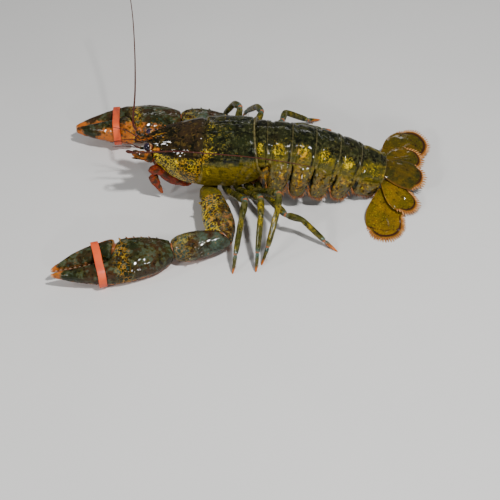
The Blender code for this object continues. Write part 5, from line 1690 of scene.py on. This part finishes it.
def build_claw(tag, cut, inward, claw):
    """Palm with its fixed finger, and the moving finger, with their teeth."""
    length, wide = claw["length"], claw["width"]
    rings = []
    for share in (0.0, 0.015, 0.04, 0.08, 0.13, 0.18, 0.24, 0.30, 0.36, FINGER_ROOT):
        rings.append(claw_ring(cut, inward, claw, share, -claw_outer(share), claw_inner(share), 28))
    for share in (FINGER_FORK, 0.55, 0.60, 0.65, 0.70, 0.75, 0.80, 0.85, 0.89, 0.92, 0.95, 0.975, 0.99):
        rings.append(claw_ring(cut, inward, claw, share, -claw_outer(share),
                               FIXED_EDGE + EDGE_DRIFT * (share - 0.5), 28))
    palm = [swept("palm", rings, 1)]
    slant = FINGER_FORK - FINGER_ROOT
    rings = []
    shares = (FINGER_ROOT + 0.006, 0.44, 0.47, 0.505, 0.54, 0.58, 0.62, 0.66, 0.71, 0.76, 0.80, 0.84, 0.88,
              0.91, 0.94, 0.965, 0.985)
    skews = (1.0, 0.9, 0.75, 0.55, 0.35, 0.2, 0.1, 0.04) + (0.0,) * 9
    for share, skew, depth in zip(shares, skews, (0.78, 0.92, 1.0) + (0.98,) * 14):
        rings.append(claw_ring(cut, inward, claw, share, MOVING_EDGE + EDGE_DRIFT * (share - 0.5),
                               claw_inner(share) - (0.008 if skew == 1.0 else 0.0), 28, depth, slant * skew))
    finger = [swept("finger", rings, 1)]
    palm_tips, finger_tips = add_teeth(tag, cut, inward, claw, palm, finger)
    fixed_end = cut.at(0.99 * length, -inward * 0.02 * length, 0)
    moving_end = cut.at(0.985 * length, inward * 0.035 * length, 0)
    for name, node, parts, tips, end in (
            ("claw_palm_shell_", "claw_palm_", palm, palm_tips, fixed_end),
            ("claw_finger_shell_", "claw_finger_", finger, finger_tips, moving_end)):
        piece = welded(name + tag, parts, 0.5)

        def claw_relief(points):
            along, side = cut.local(points)[:2]
            share = along / length
            raised = 0.22 * bumps(points, 7.0, 3) + 0.10 * bumps(points, 2.6, 17)
            raised += -0.5 * gauss(share - 0.405, 0.012) * step(side * inward, 0, 4) * (parts is palm)
            return raised * step(points[:, 2], 0.2, 1.5)

        def warm(points):
            along, side, up = cut.local(points)
            share = along / length
            below = step(-up, -1.0, 7.0)
            inner = 0.75 * step(side * inward / (length * wide), 0.11, 0.17)
            fork = 0.6 * gauss(side * inward / (length * wide) - 0.005, 0.03) * step(share, 0.45, 0.6)
            return below + inner + fork + 0.9 * step(share, 0.86, 0.98) - 0.15

        relief(piece, claw_relief)
        near_teeth, near_end = near_places(tips, 1.5), near_places([end], 3.4)
        mark(piece, warm=warm,
             yellow=lambda points: 0.30 + 0.3 * gauss(cut.local(points)[0] / length - 0.42, 0.06),
             orange=lambda points: np.maximum(0.75 * near_teeth(points), 0.6 * near_end(points)))
        place(piece, claw_shell(), "shell_claw", node + tag)
    hinge = knob(cut.at(0.445 * length, inward * 0.105 * length * wide, 0.5), 0.062 * length * wide, 0.9)
    place(hinge, joint_skin(), "shell_claw")
    hinge.name = "claw_hinge_" + tag
    if not claw["crusher"]:
        build_claw_comb(tag, cut, inward, claw)


def build_band(tag, cut, inward, claw):
    """A flat rubber band stretched round both fingers, slightly rippled."""
    length, wide = claw["length"], claw["width"]
    outline = []
    split = (FIXED_EDGE + MOVING_EDGE) / 2
    for offset in (-0.5, 0.0, 0.5):
        share = BAND_PLACE + offset * BAND_WIDTH / length
        for low, high in ((-claw_outer(share), split), (split, claw_inner(share))):
            half, middle = (high - low) / 2 * length * wide, (high + low) / 2 * length * wide
            depth = claw_depth(share) * length * claw["depth"]
            outline += [Vector((middle + s, u)) for s, u in oval(half, depth, 24, 0.86)]
    hull = [outline[index] for index in convex_hull_2d(outline)]
    hull.append(hull[0])
    travelled = [0.0]
    for first, second in zip(hull, hull[1:]):
        travelled.append(travelled[-1] + (second - first).length)
    count = 90
    targets = np.linspace(0, travelled[-1], count, endpoint=False)
    loop = [Vector(pair) for pair in zip(np.interp(targets, travelled, [p.x for p in hull]),
                                         np.interp(targets, travelled, [p.y for p in hull]))]
    centre = sum(loop, Vector((0, 0))) / count
    section = ((-0.5, 0.62), (-0.44, 0.50), (0.44, 0.50), (0.5, 0.62), (0.5, 1.42), (0.44, 1.55),
               (0.0, 1.60), (-0.44, 1.55), (-0.5, 1.42))
    rows = []
    for across, height in section:
        ring = []
        for index, point in enumerate(loop):
            lift = height + 0.05 * math.sin(index * 0.9)
            flat = point + (point - centre).normalized() * lift
            ripple = 0.10 * math.sin(index * 0.35)
            along = BAND_PLACE * length + across * (BAND_WIDTH - 0.3) + ripple
            spot = cut.at(along, inward * flat.x, flat.y)
            spot.z = max(spot.z, 0.05)
            ring.append(spot)
        rows.append(ring)
    rows.append(rows[0])
    place(swept("rubber_band_" + tag, rows, 1), band_rubber(), "bands", "band_" + tag)


# Studio

def build_studio():
    """Paper floor, air, lights and camera."""
    stage = bpy.context.scene.lobster_stage
    bpy.ops.object.select_all(action="DESELECT")
    bpy.ops.mesh.primitive_plane_add(size=1.0)
    floor = bpy.context.object
    floor.name = "studio_floor"
    floor.data.transform(Matrix.Scale(FLOOR_SIZE, 4))
    finish = Finish("studio_paper")
    cloud = finish.noise(60, 2)
    floor.data.materials.append(finish.done(finish.mix(cloud, stage.floor_colour, stage.floor_shade), 0.6))
    world = bpy.data.worlds.new("studio_air")
    world.use_nodes = True
    sky = world.node_tree.nodes["Background"]
    sky.inputs["Color"].default_value = AIR_COLOUR
    sky.inputs["Strength"].default_value = stage.air_strength
    bpy.context.scene.world = world
    for name, (spot, width, height, share) in LIGHTS.items():
        bpy.ops.object.light_add(type="AREA", location=spot)
        light = bpy.context.object
        light.name = "light_" + name
        light.data.shape = "RECTANGLE"
        light.data.size = width
        light.data.size_y = height
        light.data.energy = stage.key_power * share
        light.rotation_euler = (LIGHT_TARGET - Vector(spot)).to_track_quat("-Z", "Y").to_euler()
    azimuth, elevation, roll = (math.radians(angle) for angle in (
        CAMERA_AZIMUTH, CAMERA_ELEVATION, CAMERA_ROLL))
    forward = Vector((math.sin(azimuth) * math.cos(elevation), math.cos(azimuth) * math.cos(elevation),
                      -math.sin(elevation)))
    level = Vector((math.cos(azimuth), -math.sin(azimuth), 0.0))
    upward = level.cross(forward)
    right = level * math.cos(roll) + upward * math.sin(roll)
    up = upward * math.cos(roll) - level * math.sin(roll)
    target = ORIGIN + Vector(CAMERA_TARGET) * MM
    bpy.ops.object.camera_add(location=target - forward * CAMERA_DISTANCE)
    camera = bpy.context.object
    camera.name = "camera"
    camera.rotation_euler = Matrix((right, up, -forward)).transposed().to_euler()
    camera.data.lens = stage.focal_length
    camera.data.sensor_width = SENSOR
    camera.data.clip_start = 0.01
    bpy.context.scene.camera = camera


# Settings

def colour(name, description, value):
    return bpy.props.FloatVectorProperty(name=name, description=description, default=value, size=3,
                                         subtype="COLOR", min=0.0, max=1.0)


class LobsterColours(bpy.types.PropertyGroup):
    shell_dark: colour("Shell dark", "Blackish green of the back", (0.004, 0.0045, 0.002))
    shell_brown: colour("Shell brown", "Brown clouds on the back", (0.028, 0.016, 0.007))
    shell_green: colour("Shell green", "Green clouds on the back", (0.013, 0.016, 0.005))
    shell_olive: colour("Shell olive", "Flanks", (0.120, 0.090, 0.008))
    shell_moss: colour("Shell moss", "Darker green on flanks and legs", (0.045, 0.044, 0.006))
    shell_yellow: colour("Shell yellow", "Mottling", (0.620, 0.430, 0.014))
    shell_amber: colour("Shell amber", "Warmer mottling", (0.440, 0.190, 0.006))
    # pale rims, and the painted highlight line down the tail flaps' front ridges
    pale_rim_and_highlight: colour("Shell edge", "Pale rim of the shell plates", (0.170, 0.135, 0.050))
    lobe_brown: colour("Lobe brown", "Clouds on the side lobes of the tail", (0.130, 0.074, 0.014))
    lobe_grey: colour("Lobe grey", "Cool patches on the side lobes", (0.045, 0.056, 0.036))
    spine_orange: colour("Spine orange", "Spines and toes", (0.420, 0.105, 0.012))
    shell_gold: colour("Shell gold", "Lowest part of the flanks", (0.150, 0.100, 0.003))
    tail_band: colour("Tail band", "Dark band inside the rim", (0.035, 0.012, 0.006))
    tail_amber: colour("Tail amber", "Tail plates", (0.170, 0.090, 0.002))
    tail_olive: colour("Tail olive", "Darker clouds of the tail plates", (0.085, 0.058, 0.002))
    tail_rim: colour("Tail rim", "Rim of the tail plates", (0.170, 0.045, 0.010))
    bristle: colour("Bristles", "Fringe hairs", (0.330, 0.120, 0.020))
    comb_tan: colour("Comb tan", "Teeth of the tail fan's fringe", (0.500, 0.230, 0.060))
    claw_brown: colour("Claw brown", "Upper side of the claws", (0.045, 0.020, 0.008))
    claw_orange: colour("Claw orange", "Underside of the claws", (0.330, 0.090, 0.012))
    tooth_cream: colour("Tooth cream", "Teeth and finger tips", (0.720, 0.480, 0.300))
    leg_olive: colour("Leg olive", "Walking legs", (0.072, 0.066, 0.020))
    leg_blue: colour("Leg blue", "Leg joints", (0.055, 0.105, 0.090))
    joint_pink: colour("Joint skin", "Soft skin in the joints", (0.200, 0.060, 0.024))
    mouth_red: colour("Mouth red", "Mouthparts", (0.170, 0.018, 0.005))
    belly_cream: colour("Belly cream", "Underside", (0.480, 0.300, 0.130))
    feeler_red: colour("Feeler red", "Feelers", (0.062, 0.020, 0.014))
    feeler_dark: colour("Feeler dark", "Darker lengths of the feelers", (0.050, 0.012, 0.010))
    eye_black: colour("Eye black", "Eyes", (0.006, 0.004, 0.008))
    eye_violet: colour("Eye violet", "Cast on the eyes", (0.022, 0.012, 0.035))
    band_salmon: colour("Band salmon", "Rubber bands", (0.680, 0.085, 0.012))
    band_deep: colour("Band deep", "Darker rubber", (0.560, 0.060, 0.014))


class LobsterSizes(bpy.types.PropertyGroup):
    groove_depth: bpy.props.FloatProperty(
        name="Neck groove", description="Depth of the groove across the back in millimetres", default=1.5)
    feeler_ring: bpy.props.FloatProperty(
        name="Feeler ring", description="Length of one ring of a feeler in millimetres", default=0.9)
    fringe_length: bpy.props.FloatProperty(
        name="Fringe length", description="Length of the tail fan's hairs", default=4.7 * MM, unit="LENGTH")
    fringe_gap: bpy.props.FloatProperty(
        name="Fringe gap", description="Distance between the tail fan's hairs", default=0.42 * MM,
        unit="LENGTH")


class LobsterStage(bpy.types.PropertyGroup):
    floor_colour: colour("Floor", "Studio paper", (0.62, 0.61, 0.59))
    floor_shade: colour("Floor shade", "Faint clouds in the paper", (0.58, 0.575, 0.56))
    air_strength: bpy.props.FloatProperty(
        name="Air", description="Strength of the light from all round", default=0.20, min=0.0)
    key_power: bpy.props.FloatProperty(
        name="Key light", description="Power of the main light", default=14.5, unit="POWER")
    focal_length: bpy.props.FloatProperty(
        name="Focal length", description="Of the camera", default=78.6, unit="CAMERA")


class BuildCarapace(bpy.types.Operator):
    """Back and flanks with the beak and spines"""
    bl_idname = "lobster.carapace"
    bl_label = "Carapace"
    bl_options = {"REGISTER", "UNDO"}

    def execute(self, context):
        build_carapace()
        return {"FINISHED"}


class BuildHead(bpy.types.Operator):
    """Eyes, feelers and mouthparts"""
    bl_idname = "lobster.head"
    bl_label = "Head"
    bl_options = {"REGISTER", "UNDO"}

    def execute(self, context):
        build_eyes()
        build_feelers()
        build_mouth()
        return {"FINISHED"}


class BuildAbdomen(bpy.types.Operator):
    """Rings of the abdomen and the plates under the legs"""
    bl_idname = "lobster.abdomen"
    bl_label = "Abdomen"
    bl_options = {"REGISTER", "UNDO"}

    def execute(self, context):
        build_underside()
        build_abdomen()
        return {"FINISHED"}


class BuildTailFan(bpy.types.Operator):
    """Tail plates with their fringes"""
    bl_idname = "lobster.tail_fan"
    bl_label = "Tail fan"
    bl_options = {"REGISTER", "UNDO"}

    def execute(self, context):
        build_tail_fan()
        return {"FINISHED"}


class BuildLegs(bpy.types.Operator):
    """Walking legs"""
    bl_idname = "lobster.legs"
    bl_label = "Walking legs"
    bl_options = {"REGISTER", "UNDO"}

    def execute(self, context):
        build_legs()
        return {"FINISHED"}


class BuildClaws(bpy.types.Operator):
    """Claw arms, claws and rubber bands"""
    bl_idname = "lobster.claws"
    bl_label = "Claws"
    bl_options = {"REGISTER", "UNDO"}

    def execute(self, context):
        for tag, side in SIDES.items():
            cut, inward, claw = build_claw_arm(tag, side)
            build_claw(tag, cut, inward, claw)
            build_band(tag, cut, inward, claw)
        return {"FINISHED"}


class BuildStudio(bpy.types.Operator):
    """Floor, lights and camera"""
    bl_idname = "lobster.studio"
    bl_label = "Studio"
    bl_options = {"REGISTER", "UNDO"}

    def execute(self, context):
        build_studio()
        return {"FINISHED"}


STEPS = (BuildStudio, BuildCarapace, BuildHead, BuildAbdomen, BuildTailFan, BuildLegs, BuildClaws)


class LobsterPanel(bpy.types.Panel):
    """Lists the steps and the settings"""
    bl_idname = "VIEW3D_PT_lobster"
    bl_label = "Lobster"
    bl_space_type = "VIEW_3D"
    bl_region_type = "UI"
    bl_category = "Lobster"

    def draw(self, context):
        for entry in STEPS:
            self.layout.operator(entry.bl_idname)
        scene = context.scene
        for group in (scene.lobster_sizes, scene.lobster_stage, scene.lobster_colours):
            for name in group.__annotations__:
                self.layout.prop(group, name)


GROUPS = {"lobster_colours": LobsterColours, "lobster_sizes": LobsterSizes, "lobster_stage": LobsterStage}


def register():
    for entry in (*GROUPS.values(), *STEPS, LobsterPanel):
        bpy.utils.register_class(entry)
    for name, group in GROUPS.items():
        setattr(bpy.types.Scene, name, bpy.props.PointerProperty(type=group))


def unregister():
    for name in GROUPS:
        delattr(bpy.types.Scene, name)
    for entry in reversed((*GROUPS.values(), *STEPS, LobsterPanel)):
        bpy.utils.unregister_class(entry)


def main():
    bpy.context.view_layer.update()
    register()
    for entry in STEPS:
        group, name = entry.bl_idname.split(".")
        getattr(getattr(bpy.ops, group), name)()


if __name__ == "__main__":
    main()
